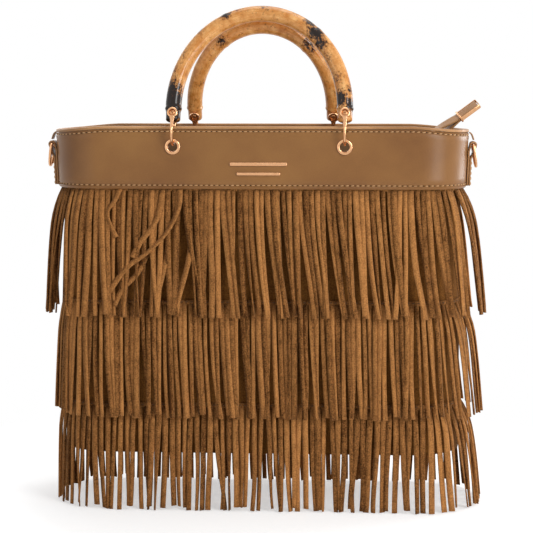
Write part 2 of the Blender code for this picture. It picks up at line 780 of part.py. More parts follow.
def side_ring(hand, sign):
    """The ring, its folded tab and the short tie up to the rim on one side."""
    pivot_x = side_face(RING_Z) + RING_OUT
    bar_half = RING_HALF - RING_SHOULDER / 2
    corner = [(RING_HALF, -RING_SHOULDER / 2)]
    bow = [
        (y * RING_HALF, -RING_SHOULDER - (RING_DROP - RING_SHOULDER) * z)
        for y, z in arc((0, 0), 1, 0, 180, 14)
    ]
    loop =[(bar_half, 0), *corner, *bow, *[(-y, z) for y, z in corner], (-bar_half, 0)]
    path = [(0, y, z) for y, z in loop]
    ring = wire(f"side_ring_{hand}", path, RING_WIRE, "metal", cyclic=True)
    placed(ring, (sign * pivot_x, 0, RING_Z), (0, -sign * math.radians(RING_TILT), 0))

    fold = RING_WIRE + GAP + TAB_LEATHER / 2
    inner = GAP + TAB_LEATHER / 2
    outer = inner + TAB_LEATHER + GAP
    turns = arc((RING_OUT, RING_Z), fold, -20, 190, 9)
    tab_path = [
        (outer, TAB_BOTTOM_Z),
        (outer, TAB_JOIN_Z),
        (outer + TAB_LEATHER, TAB_JOIN_Z + TAB_LEATHER * 2),
        *turns,
        (inner, RING_Z - fold * 2),
        (inner, TAB_BOTTOM_Z),
    ]
    ribbon(f"ring_tab_{hand}", side_path(tab_path, sign), TAB_HALF, TAB_LEATHER, "leather")
    tie_out = RING_OUT + GAP
    tie_top = BAND_TOP_Z - RIM_DROP
    tie_foot = RING_Z + fold + TAB_LEATHER / 2 + TIE_LEATHER
    tie_path = [
        (GAP + TIE_LEATHER / 2, tie_top),
        (tie_out * TIE_BOW, (tie_top + tie_foot) / 2 + TIE_LEATHER),
        (tie_out, tie_foot),
    ]
    curve = [(p.x, p.y) for p in smooth_path([(u, z) for u, z in tie_path], 4)]
    ribbon(f"side_tie_{hand}", side_path(curve, sign), TIE_HALF, TIE_LEATHER, "leather")


def side_path(path, sign):
    """World (x, z) for points given as distance from the band's side face and height."""
    return [(sign * (side_face(max(z, BAND_BOTTOM_Z)) + u), z) for u, z in path]


def make_side_rings():
    for hand, sign in (("left", -1), ("right", 1)):
        side_ring(hand, sign)


# Zip
def zip_panel(word, side):
    """The gusset between the facing and the zip tape, round ended like the plan."""
    offset = FACING_IN - GAP
    half_width, half_depth, corner = plan_at(ZIP_Z)
    centre_x, centre_y = half_width - corner, half_depth - corner
    start = math.degrees(math.asin((ZIP_PANEL_EDGE - centre_y) / (corner + offset)))
    right = arc((centre_x, -centre_y), corner + offset, -start, -90, CORNER_STEPS)
    left = [(-x, y) for x, y in reversed(right)]
    outline = [(x, -side * y, ZIP_Z) for x, y in right + left]
    flat_plate(f"zip_panel_{word}", outline, ZIP_PANEL_THICKNESS, "leather")


def zip_tape(word, side):
    z = ZIP_Z + ZIP_PANEL_THICKNESS + GAP
    near, far = sorted((side * ZIP_SLOT, side * ZIP_TAPE_HALF))
    low = (-ZIP_TAPE_LENGTH / 2, near, z)
    high = (ZIP_TAPE_LENGTH / 2, far, z + ZIP_TAPE_THICKNESS)
    box(f"zip_tape_{word}", low, high, "zip_tape", BAG)


def zip_teeth(word, side):
    """A rail with a comb of teeth that point at the other row."""
    z = ZIP_Z + ZIP_PANEL_THICKNESS + ZIP_TAPE_THICKNESS + 2 * GAP
    start = -TOOTH_PITCH * TOOTH_COUNT / 2
    shift = TOOTH_PITCH / 4 * side
    back = ZIP_SLOT + TOOTH_REACH
    outline = [(start + shift, back + TOOTH_RAIL), (start + shift, back)]
    for index in range(TOOTH_COUNT):
        x = start + TOOTH_PITCH * (index + 0.5) + shift
        outline += [(x, ZIP_SLOT), (x + TOOTH_PITCH / 2, back)]
    outline.append((outline[-1][0], back + TOOTH_RAIL))
    points = [(x, side * y, z) for x, y in outline]
    flat_plate(f"zip_teeth_{word}", points, TOOTH_HEIGHT, "metal")
    return z + TOOTH_HEIGHT


def make_zip():
    for side, word in ((FRONT, "front"), (BACK, "back")):
        zip_panel(word, side)
        zip_tape(word, side)
        teeth_top = zip_teeth(word, side)
    make_slider_and_pull(teeth_top)


def make_slider_and_pull(teeth_top):
    tape_z = ZIP_Z + ZIP_PANEL_THICKNESS + GAP
    plate_z = teeth_top + GAP
    under_z = tape_z - GAP - SLIDER_PLATE
    pivot_z = plate_z + SLIDER_PLATE + PULL_RISE
    top = Vector((SLIDER_LENGTH / 2, SLIDER_HALF, plate_z + SLIDER_PLATE))
    under = Vector((SLIDER_UNDER_HALF, ZIP_PANEL_EDGE / 2, under_z + SLIDER_PLATE))
    ear = SLIDER_EAR_HALF
    parts = [
        box("top", (-top.x, -top.y, plate_z), top),
        box("under", (-under.x, -under.y, under_z), under),
        box("post", (-ear, -SLIDER_POST, under_z + GAP), (ear, SLIDER_POST, plate_z + GAP)),
    ]
    for sign in (-1, 1):
        near, far = sorted((sign * (SLIDER_HALF - SLIDER_EAR), sign * (SLIDER_HALF - GAP / 3)))
        parts.append(box("ear", (-ear, near, plate_z + GAP), (ear, far, pivot_z + ear)))
    bar = rod("bar", PULL_BAR, 2 * SLIDER_HALF - SLIDER_EAR, 12)
    parts.append(placed(bar, (0, 0, pivot_z)))
    slider = united("zip_slider", parts, "metal")
    placed(slider, (SLIDER_X, 0, 0))
    make_pull(pivot_z)


def pull_twist(x):
    """The pull turns about its own length between its fold and its clamp."""
    share = min(max((x - PULL_TWIST_FROM) / PULL_TWIST_LENGTH, 0), 1)
    return math.radians(PULL_TWIST) * share * share * (3 - 2 * share)


def make_pull(pivot_z):
    fold = PULL_BAR + GAP + PULL_LEATHER / 2
    tail = PULL_LENGTH - CLAMP_WALL - 2 * GAP
    closed_x = PULL_LENGTH - CLAMP_LENGTH
    meet = PULL_LEATHER / 2 + GAP / 2
    leg = smooth_path([(fold, fold), *PULL_BELLY, (closed_x - 2 * PULL_LEATHER, meet)], 4)
    leg = [(p.x, p.y) for p in leg[1:]] + [(tail, meet)]
    turns = arc((0, 0), fold, 75, 285, 8)
    path = [*reversed(leg), *turns, *[(x, -z) for x, z in leg]]
    strap = ribbon("zip_pull_strap", path, PULL_HALF, PULL_LEATHER, "leather", pull_twist)
    clamp_half = PULL_HALF + GAP + CLAMP_WALL
    clamp_rise = PULL_LEATHER + GAP / 2 + GAP + CLAMP_WALL
    bm = bmesh.new()
    grow = Matrix.Translation((PULL_LENGTH - CLAMP_LENGTH / 2, 0, 0))
    size = Matrix.Diagonal((CLAMP_LENGTH, 2 * clamp_half, 2 * clamp_rise, 1))
    bmesh.ops.create_cube(bm, size=1, matrix=grow @ size)
    long_edges = [e for e in bm.edges if abs((e.verts[0].co - e.verts[1].co).x) > CLAMP_LENGTH / 2]
    bmesh.ops.bevel(
        bm, geom=long_edges, offset=CLAMP_WALL * 0.8, segments=2, profile=0.5, affect="EDGES", material=-1
    )
    clamp = mesh_object("zip_pull_bar", bm, "metal")
    reach = PULL_LEATHER + GAP / 2 + GAP
    low = (closed_x - CLAMP_WALL, -(PULL_HALF + GAP), -reach)
    pocket = box("clamp_pocket", low, (PULL_LENGTH - CLAMP_WALL, PULL_HALF + GAP, reach))
    cut(clamp, pocket)
    lean = Matrix.Rotation(-math.radians(PULL_ANGLE), 4, "Y")
    place = Matrix.Translation((SLIDER_X, 0, pivot_z)) @ lean
    strap.matrix_world = place
    clamp.matrix_world = place @ Matrix.Rotation(math.radians(PULL_TWIST), 4, "X")
    pocket.matrix_world = clamp.matrix_world


# Plain bars on the front of the band
def make_trim_bars():
    face_y = -(RIM_HALF_DEPTH + BAND_OUT + GAP)
    for word, (length, height, z) in TRIM_BARS.items():
        low = (-length / 2, face_y - TRIM_THICKNESS, z - height / 2)
        high = (length / 2, face_y, z + height / 2)
        bevel(box(f"trim_bar_{word}", low, high, "metal", BAG), TRIM_THICKNESS / 3)


def shade_round_pieces():
    for thing in BAG.objects:
        if thing.type == "MESH" and len(thing.data.polygons) > 6:
            thing.data.shade_smooth()
            thing.data.set_sharp_from_angle(angle=math.radians(40))


def make_bag():
    make_walls()
    make_piping()
    make_base_and_lining()
    make_fringe()
    make_eyelets()
    front = handle("front", FRONT, FRONT_SPREAD, FRONT_APEX_Z, FRONT_KNOTS)
    back = handle("back", BACK, BACK_SPREAD, BACK_APEX_Z, BACK_KNOTS)
    print("handle lean, degrees:", round(math.degrees(front), 2), round(math.degrees(back), 2))
    make_side_rings()
    make_zip()
    make_trim_bars()
    shade_round_pieces()


make_bag()
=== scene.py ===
# %% [markdown]
# # A fringed suede handbag
# The bag is a stiff box of suede with a smooth leather band round its mouth. Three tiers of cut
# suede hang round it, two bamboo canes arch over it, and the small hardware is plated rose gold.
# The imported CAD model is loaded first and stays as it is. Each cell then makes one piece of the
# bag, in metres and in place, and lets it ride on the CAD body that it belongs to.

# %% Load the frame
import json
import math
import random

import bmesh
import bpy
from mathutils import Matrix, Vector, noise


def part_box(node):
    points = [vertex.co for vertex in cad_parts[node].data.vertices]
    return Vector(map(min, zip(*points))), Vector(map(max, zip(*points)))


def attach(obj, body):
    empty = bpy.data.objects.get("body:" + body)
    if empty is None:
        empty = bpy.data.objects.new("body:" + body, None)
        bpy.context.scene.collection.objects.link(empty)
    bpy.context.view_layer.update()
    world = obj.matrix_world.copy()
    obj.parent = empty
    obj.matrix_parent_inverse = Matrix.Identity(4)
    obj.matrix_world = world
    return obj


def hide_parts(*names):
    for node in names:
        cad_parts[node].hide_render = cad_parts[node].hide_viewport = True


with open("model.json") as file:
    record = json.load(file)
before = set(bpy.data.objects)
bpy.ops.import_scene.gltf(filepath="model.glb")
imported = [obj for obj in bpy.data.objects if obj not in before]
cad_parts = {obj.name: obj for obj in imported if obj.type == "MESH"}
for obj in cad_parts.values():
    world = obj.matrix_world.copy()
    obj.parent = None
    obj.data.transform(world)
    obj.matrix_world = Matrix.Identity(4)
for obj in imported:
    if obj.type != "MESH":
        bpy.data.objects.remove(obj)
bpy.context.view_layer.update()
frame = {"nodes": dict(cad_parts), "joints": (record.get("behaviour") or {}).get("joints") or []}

# %% [markdown]
# ## Sizes
# The driving sizes repeat the ones that the solids were built from, and what the frame can say,
# such as where an eyelet or a hinge lies, is read from it.

# %% Driving sizes
FRONT, BACK = -1, 1
SIDES = {"front": FRONT, "back": BACK}
HANDS = {"left": -1, "right": 1}

BASE_Z, BASE_HALF_WIDTH, BASE_HALF_DEPTH, BASE_CORNER = 0.050, 0.1780, 0.0520, 0.0460
BAND_BOTTOM_Z, WAIST_HALF_WIDTH = 0.283, 0.1778
RIM_Z, RIM_HALF_WIDTH, RIM_HALF_DEPTH, RIM_CORNER = 0.338, 0.1802, 0.0410, 0.0385
RIM_DROP, RIM_FLAT_HALF = 0.0035, 0.130
BAND_OUT, BAND_WALL, FACING_OUT, FACING_WALL = 0.0042, 0.0020, 0.0017, 0.0020
PIPING_HEIGHT, GAP = 0.0026, 0.0003
BAND_TOP_Z = RIM_Z - PIPING_HEIGHT - GAP
FACING_BOTTOM_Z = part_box("facing_front")[0][2]

# %% [markdown]
# ## Finding a place on the wall
# The bag's plan is a rectangle with round corners that changes a little with height. Everything
# sewn to the wall is placed by how far round it lies from the middle of the front or back.


# %% Plan of the bag
def plan_at(z):
    """Half width, half depth and corner radius of the suede face at a height."""
    base = (BASE_HALF_WIDTH, BASE_HALF_DEPTH, BASE_CORNER)
    waist = (WAIST_HALF_WIDTH, RIM_HALF_DEPTH, RIM_CORNER)
    rim = (RIM_HALF_WIDTH, RIM_HALF_DEPTH, RIM_CORNER)
    low, high, share = base, waist, (z - BASE_Z) / (BAND_BOTTOM_Z - BASE_Z)
    if z > BAND_BOTTOM_Z:
        low, high, share = waist, rim, (z - BAND_BOTTOM_Z) / (RIM_Z - BAND_BOTTOM_Z)
    return [a + (b - a) * share for a, b in zip(low, high)]


def half_round(z):
    """Length of the wall from the middle of the front to the side seam."""
    half_width, half_depth, corner = plan_at(z)
    return half_width - corner + corner * math.pi / 2 + half_depth - corner


def on_wall(side, along, z, out=0.0):
    """Point, outward normal and sideways direction. along runs to the right seen from the front."""
    half_width, half_depth, corner = plan_at(max(z, BASE_Z))
    hand, far = math.copysign(1, along), abs(along)
    straight, bend = half_width - corner, corner * math.pi / 2
    turn = min(max(far - straight, 0) / corner, math.pi / 2)
    normal = Vector((hand * math.sin(turn), side * math.cos(turn), 0))
    if far < straight:
        point = Vector((along, side * half_depth, z))
    else:
        centre = Vector((hand * straight, side * (half_depth - corner), z))
        point = centre + normal * corner
        point.y -= side * max(far - straight - bend, 0)
    sideways = Vector((side * normal.y, -side * normal.x, 0))
    return point + normal * out, normal, sideways


def rim_drop(x):
    """How far the rim dips below its middle towards the corners."""
    share = (abs(x) - RIM_FLAT_HALF) / (RIM_HALF_WIDTH + BAND_OUT - RIM_FLAT_HALF)
    share = min(max(share, 0.0), 1.0)
    return RIM_DROP * share * share * (3 - 2 * share)


print("half way round at the rim:", round(half_round(RIM_Z), 4))

# %% [markdown]
# ## Helpers for meshes
# Most pieces are drawn through: a first row of points is joined by edges, and each next row is
# an extrude of the last one, moved into place. That keeps the faces in tidy rings and rows.


# %% Mesh helpers
def drawn_through(rows, closed=False, joined=False, capped=False):
    """A surface pulled through rows of points. closed rows are rings, joined ends meet."""
    bm = bmesh.new()
    verts = [bm.verts.new(point) for point in rows[0]]
    ends = verts[1:] + verts[:1] if closed else verts[1:]
    first = edges = [bm.edges.new(pair) for pair in zip(verts, ends)]
    for row in rows[1:]:
        grown = bmesh.ops.extrude_edge_only(bm, edges=edges)["geom"]
        edges = [item for item in grown if isinstance(item, bmesh.types.BMEdge)]
        fresh = [item for item in grown if isinstance(item, bmesh.types.BMVert)]
        for vert, point in zip(fresh, row):
            vert.co = point
    if joined:
        bmesh.ops.bridge_loops(bm, edges=list(first) + edges)
    if capped:
        bmesh.ops.holes_fill(bm, edges=list(first) + edges, sides=0)
    return bm


def tube(path, across, radii, capped=True, joined=False, sides=16):
    """A round or oval bar along a path in a plane. across is the plane's normal."""
    rows = []
    count = len(path)
    for index, centre in enumerate(path):
        before = path[index - 1] if index or joined else centre
        after = path[(index + 1) % count] if index + 1 < count or joined else centre
        outwards = across.cross((after - before).normalized())
        wide, thick = radii[index]
        turns = [2 * math.pi * step / sides for step in range(sides)]
        rows.append([centre + across * wide * math.cos(a) + outwards * thick * math.sin(a) for a in turns])
    return drawn_through(rows, closed=True, joined=joined, capped=capped and not joined)


def turned(profile, steps=48):
    """A profile of (radius, height) points spun about Z, as on a lathe."""
    bm = bmesh.new()
    verts = [bm.verts.new((radius, 0, height)) for radius, height in profile]
    edges = [bm.edges.new(pair) for pair in zip(verts, verts[1:])]
    geom = verts + edges
    bmesh.ops.spin(bm, geom=geom, cent=(0, 0, 0), axis=(0, 0, 1), angle=2 * math.pi, steps=steps, use_merge=True)
    bmesh.ops.remove_doubles(bm, verts=bm.verts, dist=1e-6)
    return bm


def arc(centre, radius, start, end, steps):
    """Points on a circle between two angles in degrees."""
    angles = [math.radians(start + (end - start) * step / steps) for step in range(steps + 1)]
    return [(centre[0] + radius * math.cos(a), centre[1] + radius * math.sin(a)) for a in angles]


def smooth_curve(points, steps):
    """Points on a smooth curve through the given ones."""
    padded = [Vector(p) for p in (points[0], *points, points[-1])]
    path = []
    for before, start, end, after in zip(padded, padded[1:], padded[2:], padded[3:]):
        for step in range(steps):
            t = step / steps
            bend = 2 * before - 5 * start + 4 * end - after
            turn = 3 * start - before - 3 * end + after
            path.append(0.5 * (2 * start + (end - before) * t + bend * t * t + turn * t**3))
    return [*path, Vector(points[-1])]


# %% [markdown]
# ## From a mesh to a piece
# One function hands a finished mesh over: it closes doubles, turns the faces outwards, gives the
# finish, says which body carries the piece, and hides the CAD nodes that it stands for.


# %% Piece helper
def piece(name, bm, finish, body, nodes=(), place=None, recalc=True, sharp=40):
    if place:
        bmesh.ops.transform(bm, matrix=place, verts=bm.verts)
    if recalc:
        bmesh.ops.remove_doubles(bm, verts=bm.verts, dist=1e-6)
        bmesh.ops.recalc_face_normals(bm, faces=bm.faces)
    data = bpy.data.meshes.new(name)
    bm.to_mesh(data)
    bm.free()
    data.shade_smooth()
    data.set_sharp_from_angle(angle=math.radians(sharp))
    data.materials.append(finish)
    made = bpy.data.objects.new(name, data)
    bpy.context.scene.collection.objects.link(made)
    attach(made, body)
    if nodes:
        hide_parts(*nodes)
    return made


def thicken(made, thickness, offset, edge=0.0):
    wall = made.modifiers.new("wall", "SOLIDIFY")
    wall.thickness, wall.offset, wall.use_even_offset = thickness, offset, True
    if edge:
        rounding = made.modifiers.new("edge", "BEVEL")
        rounding.width, rounding.segments = edge, 2
        rounding.limit_method, rounding.angle_limit = "ANGLE", math.radians(50)


# %% [markdown]
# ## Finishes
# Colours are written as sRGB hex values and turned to linear once. One small function adds a
# shader node with its settings and links.


# %% Colour and node helpers
def linear(hex_colour):
    parts = [int(hex_colour[i : i + 2], 16) / 255 for i in (1, 3, 5)]
    return (*[((c + 0.055) / 1.055) ** 2.4 if c > 0.04045 else c / 12.92 for c in parts], 1.0)


def add(tree, kind, inputs=None, **settings):
    """Adds a node. An input that is a socket is linked, and any other value is set."""
    made = tree.nodes.new(kind)
    for name, value in settings.items():
        setattr(made, name, value)
    for name, value in (inputs or {}).items():
        if isinstance(value, bpy.types.NodeSocket):
            tree.links.new(value, made.inputs[name])
        else:
            made.inputs[name].default_value = value
    return made


def blank(name, **shader_values):
    """A material with its Principled shader, whose constant values are set on its own sockets."""
    made = bpy.data.materials.new(name)
    made.use_nodes = True
    shader = made.node_tree.nodes["Principled BSDF"]
    for socket, value in shader_values.items():
        shader.inputs[socket.replace("_", " ")].default_value = value
    return made, made.node_tree, shader


def blended(tree, share, first, second):
    """The socket of a mix of two colours."""
    mix = add(tree, "ShaderNodeMix", {0: share, 6: first, 7: second}, data_type="RGBA")
    return mix.outputs[2]


# %% [markdown]
# ### Brushed split suede
# Suede is the flesh side of a hide, brushed to a short nap. It has no gloss, only a pale bloom at
# grazing angles, which is the shader's sheen. The nap lies in different directions, so it shows
# soft light and dark clouds. Each cut strip has its own tone, kept in an attribute, and the same
# attribute carries painted shade that makes one side of each strip lighter than the other.


# %% Suede
NAP_MM, CLOUD_MM, STREAK_MM = 1.2, 9.0, 1.5


def suede(name, dark, light, lift):
    made, tree, shader = blank(name, Roughness=0.95, Sheen_Weight=0.10, Sheen_Roughness=0.5, Specular_IOR_Level=0.15)
    shader.inputs["Sheen Tint"].default_value = linear("#E8BE8C")
    where = add(tree, "ShaderNodeTexCoord").outputs["Object"]
    nap = add(tree, "ShaderNodeTexNoise", {"Vector": where, "Scale": 1000 / NAP_MM, "Detail": 3.0})
    clouds = add(tree, "ShaderNodeTexNoise", {"Vector": where, "Scale": 1000 / CLOUD_MM, "Detail": 3.0})
    stretched = add(tree, "ShaderNodeMapping", {"Vector": where, "Scale": (1, 1, 0.08)})
    streaks = add(tree, "ShaderNodeTexNoise", {"Vector": stretched.outputs[0], "Scale": 1000 / STREAK_MM, "Detail": 2.0})
    # The tone attribute holds each strip's own tone plus the painted shade across it.
    tone = add(tree, "ShaderNodeAttribute", attribute_name="tone").outputs["Fac"]
    total = tone
    for source, weight in ((nap, 1.5), (clouds, 0.5), (streaks, 0.6)):
        centred = add(tree, "ShaderNodeMath", {0: source.outputs["Fac"], 1: 0.5}, operation="SUBTRACT")
        step = add(tree, "ShaderNodeMath", {0: centred.outputs[0], 1: weight, 2: total}, operation="MULTIPLY_ADD")
        total = step.outputs[0]
    share = add(tree, "ShaderNodeMath", {0: total, 1: lift}, operation="ADD", use_clamp=True)
    colour = blended(tree, share.outputs[0], linear(dark), linear(light))
    tree.links.new(colour, shader.inputs["Base Color"])
    bump = add(tree, "ShaderNodeBump", {"Height": nap.outputs["Fac"], "Strength": 0.45, "Distance": 0.0004})
    tree.links.new(bump.outputs[0], shader.inputs["Normal"])
    return made


STRIP_SUEDE = suede("brushed_split_suede_strips", "#4A290B", "#BF834A", 0.0)
# The wall is the strips' suede painted darker, as painted shade in the gaps between the strips.
WALL_SUEDE_WITH_PAINTED_SHADE = suede("brushed_split_suede_wall_painted_shade", "#50300F", "#95602A", 0.40)

# %% [markdown]
# ### Smooth calf leather
# Pigmented calf is nearly smooth: a fine pebble that is felt more than seen, a low sheen, and
# slow clouds in the colour where the dye took differently.


# %% Smooth leather
PEBBLE_MM, DYE_MM = 0.9, 60.0


def calf(name, dark, light, gloss=0.42):
    made, tree, shader = blank(name, Specular_IOR_Level=0.35, Coat_Weight=0.04, Coat_Roughness=0.3)
    where = add(tree, "ShaderNodeTexCoord").outputs["Object"]
    dye = add(tree, "ShaderNodeTexNoise", {"Vector": where, "Scale": 1000 / DYE_MM, "Detail": 3.0})
    fine = add(tree, "ShaderNodeTexNoise", {"Vector": where, "Scale": 1000 / PEBBLE_MM, "Detail": 2.0})
    pebble = add(
        tree, "ShaderNodeTexVoronoi", {"Vector": where, "Scale": 1000 / PEBBLE_MM}, feature="SMOOTH_F1"
    )
    share = add(tree, "ShaderNodeMath", {0: fine.outputs["Fac"], 1: 0.25, 2: dye.outputs["Fac"]}, operation="MULTIPLY_ADD")
    spread = add(
        tree,
        "ShaderNodeMapRange",
        {"Value": share.outputs[0], "From Min": 0.4, "From Max": 0.85, "To Min": 0.0, "To Max": 1.0},
    )
    colour = blended(tree, spread.outputs[0], linear(dark), linear(light))
    tree.links.new(colour, shader.inputs["Base Color"])
    rough = add(
        tree,
        "ShaderNodeMapRange",
        {"Value": fine.outputs["Fac"], "To Min": gloss - 0.05, "To Max": gloss + 0.08},
    )
    tree.links.new(rough.outputs[0], shader.inputs["Roughness"])
    bump = add(tree, "ShaderNodeBump", {"Height": pebble.outputs["Distance"], "Strength": 0.12, "Distance": 0.0002})
    tree.links.new(bump.outputs[0], shader.inputs["Normal"])
    return made


BAND_LEATHER = calf("smooth_calf_band", "#7A4F26", "#946736", 0.36)
PIPING_LEATHER = calf("smooth_calf_piping", "#9A6C40", "#C69666", 0.36)
FACING_LEATHER = calf("smooth_calf_facing", "#6F5338", "#8B6B4B", 0.5)
STRAP_LEATHER = calf("smooth_calf_straps", "#93663A", "#B78A5C")

# %% [markdown]
# ### Waxed thread, woven tape and lining
# The thread is a shade lighter than the leather. The tape and the lining are plain weaves, drawn
# a little coarser than real, because real threads would be too fine to show.

# %% Thread and cloth
TAPE_THREAD_MM, LINING_THREAD_MM = 0.8, 1.0


def woven(name, dark, light, thread_mm):
    made, tree, shader = blank(name, Roughness=0.85, Sheen_Weight=0.15)
    where = add(tree, "ShaderNodeTexCoord").outputs["Object"]
    rate = 1000 / thread_mm / 6.283
    warp = add(tree, "ShaderNodeTexWave", {"Vector": where, "Scale": rate}, bands_direction="X")
    weft = add(tree, "ShaderNodeTexWave", {"Vector": where, "Scale": rate}, bands_direction="Y")
    cross = add(tree, "ShaderNodeMath", {0: warp.outputs["Fac"], 1: weft.outputs["Fac"]}, operation="MULTIPLY")
    colour = blended(tree, cross.outputs[0], linear(dark), linear(light))
    tree.links.new(colour, shader.inputs["Base Color"])
    bump = add(tree, "ShaderNodeBump", {"Height": cross.outputs[0], "Strength": 0.3, "Distance": 0.0002})
    tree.links.new(bump.outputs[0], shader.inputs["Normal"])
    return made


def spun_thread(name, dark, light):
    made, tree, shader = blank(name, Roughness=0.6, Specular_IOR_Level=0.35)
    where = add(tree, "ShaderNodeTexCoord").outputs["Object"]
    fibre = add(tree, "ShaderNodeTexNoise", {"Vector": where, "Scale": 2500.0, "Detail": 2.0})
    colour = blended(tree, fibre.outputs["Fac"], linear(dark), linear(light))
    tree.links.new(colour, shader.inputs["Base Color"])
    return made


THREAD = spun_thread("waxed_linen_thread", "#AC8053", "#E2BB8E")
DARK_THREAD = spun_thread("waxed_thread_on_suede", "#4A2F16", "#6E4A28")
NEEDLE_HOLE_SHADOW = spun_thread("needle_hole_shadow", "#2E1C0D", "#3A2512")
ZIP_TAPE = woven("woven_polyester_tape", "#4E3620", "#6E4E31", TAPE_THREAD_MM)
LINING = woven("woven_cotton_lining", "#6B5840", "#8A7455", LINING_THREAD_MM)

# %% [markdown]
# ### Rose gold plating
# Cast zinc, polished and plated. The plating is smooth, with only faint polishing marks, so the
# roughness varies a little and the colour hardly at all.


# %% Plated metal
def plated(name, dark, light, rough):
    made, tree, shader = blank(name, Metallic=1.0)
    where = add(tree, "ShaderNodeTexCoord").outputs["Object"]
    marks = add(tree, "ShaderNodeTexNoise", {"Vector": where, "Scale": 420.0, "Detail": 4.0})
    colour = blended(tree, marks.outputs["Fac"], linear(dark), linear(light))
    tree.links.new(colour, shader.inputs["Base Color"])
    span = add(tree, "ShaderNodeMapRange", {"Value": marks.outputs["Fac"], "To Min": rough - 0.06, "To Max": rough + 0.1})
    tree.links.new(span.outputs[0], shader.inputs["Roughness"])
    return made


ROSE_GOLD = plated("polished_rose_gold_plate", "#D19A6C", "#E9B78C", 0.18)
DULL_GOLD = plated("brushed_rose_gold_plate", "#B5835A", "#CC9A6E", 0.32)

# %% [markdown]
# ### Flame-bent bamboo
# The canes are bent over a flame and varnished. The flame leaves brown clouds and black scorch
# marks with ragged edges. How strongly a place was scorched is kept in an attribute, and fine
# noise decides where the scorch breaks through. Fibres run along the cane, so the pattern reads
# the cane's own map, where one direction runs along it.


# %% Bamboo
FIBRE_MM, MOTTLE_MM, SPECK_MM = 0.9, 7.0, 2.2


def bamboo():
    made, tree, shader = blank(
        "varnished_flame_bent_bamboo", Roughness=0.34, Coat_Weight=0.45, Coat_Roughness=0.08, Specular_IOR_Level=0.1
    )
    cane = add(tree, "ShaderNodeUVMap", uv_map="cane").outputs[0]
    where = add(tree, "ShaderNodeTexCoord").outputs["Object"]
    stretched = add(tree, "ShaderNodeMapping", {"Vector": cane, "Scale": (1, 0.04, 1)})
    fibres = add(tree, "ShaderNodeTexNoise", {"Vector": stretched.outputs[0], "Scale": 1000 / FIBRE_MM, "Detail": 3.0})
    mottle = add(tree, "ShaderNodeTexNoise", {"Vector": where, "Scale": 1000 / MOTTLE_MM, "Detail": 5.0, "Roughness": 0.62})
    specks = add(tree, "ShaderNodeTexNoise", {"Vector": where, "Scale": 1000 / SPECK_MM, "Detail": 4.0, "Roughness": 0.7})
    grain = add(tree, "ShaderNodeMapRange", {"Value": fibres.outputs["Fac"], "From Min": 0.3, "From Max": 0.7})
    cloud = add(tree, "ShaderNodeMapRange", {"Value": mottle.outputs["Fac"], "From Min": 0.35, "From Max": 0.68})
    skin = blended(tree, grain.outputs[0], linear("#E09A51"), linear("#F7C481"))
    skin = blended(tree, cloud.outputs[0], linear("#C8803A"), skin)
    scorch = add(tree, "ShaderNodeAttribute", attribute_name="scorch").outputs["Fac"]
    ragged = add(tree, "ShaderNodeMath", {0: specks.outputs["Fac"], 1: 1.25, 2: scorch}, operation="MULTIPLY_ADD")
    brown = add(tree, "ShaderNodeMapRange", {"Value": ragged.outputs[0], "From Min": 0.89, "From Max": 1.14})
    black = add(tree, "ShaderNodeMapRange", {"Value": ragged.outputs[0], "From Min": 1.11, "From Max": 1.17})
    browned = blended(tree, brown.outputs[0], skin, linear("#7A4A22"))
    burnt = blended(tree, black.outputs[0], browned, linear("#1A0D06"))
    tree.links.new(burnt, shader.inputs["Base Color"])
    bump = add(tree, "ShaderNodeBump", {"Height": fibres.outputs["Fac"], "Strength": 0.08, "Distance": 0.0002})
    tree.links.new(bump.outputs[0], shader.inputs["Normal"])
    return made


BAMBOO = bamboo()
print("finishes:", len(bpy.data.materials))

# %% [markdown]
# ## Body, base and lining
# These solids have the right shape already, so they keep their CAD mesh and get the finish of
# what they are. The wall shows between the strips and below the last header. Its suede is painted
# darker than the strips' suede, as painted shade in the gaps between the strips.

# %% Carried-over nodes
CARRIED = {
    "body_front": WALL_SUEDE_WITH_PAINTED_SHADE,
    "body_back": WALL_SUEDE_WITH_PAINTED_SHADE,
    "base_panel": STRAP_LEATHER,
    "lining": LINING,
    "zip_panel_front": FACING_LEATHER,
    "zip_panel_back": FACING_LEATHER,
    "zip_tape_front": ZIP_TAPE,
    "zip_tape_back": ZIP_TAPE,
    "zip_slider": ROSE_GOLD,
}
for node_name, finish in CARRIED.items():
    frame["nodes"][node_name].material_slots[0].material = finish
print("carried over:", len(CARRIED))

# %% [markdown]
# ## Cut fringe
# Each tier is one long piece of suede, slit with a blade from the hem up to a narrow header. A
# strip leaves the header flat, then twists, leans and lifts as it likes, and its end is cut
# straight. Neighbours cling together in small clumps, with a wedge of shadow between clumps. A
# strip starts as a small grid whose rows are laid along its own path.

# %% Fringe sizes
TIERS = {
    "top": {
        "seam": 0.2822, "header": 0.0080, "hem": 0.171, "pitch": 0.0048, "width": (0.0033, 0.0052),
        "front": 0.0072, "left": 0.0142, "right": 0.0188, "stray": 0.0048, "turn": 38,
        "sway": [-0.004, 0.001, -0.003, 0.004, 0.009, 0.011, 0.010, 0.008, 0.012],
    },
    "middle": {
        "seam": 0.1822, "header": 0.0035, "hem": 0.082, "pitch": 0.0046, "width": (0.0031, 0.0048),
        "front": 0.0056, "left": 0.0055, "right": 0.0165, "stray": 0.0021, "turn": 30,
        "sway": [-0.003, 0.002, 0.004, 0.005, 0.003, 0.004, 0.001, 0.003, 0.010],
    },
    "bottom": {
        "seam": 0.0912, "header": 0.0035, "hem": 0.000, "pitch": 0.0056, "width": (0.0032, 0.0052),
        "front": 0.0046, "left": 0.0035, "right": 0.0160, "stray": 0.0026, "turn": 36,
        "sway": [0.003, 0.002, -0.001, 0.001, 0.000, 0.001, -0.002, 0.001, 0.006],
    },
}
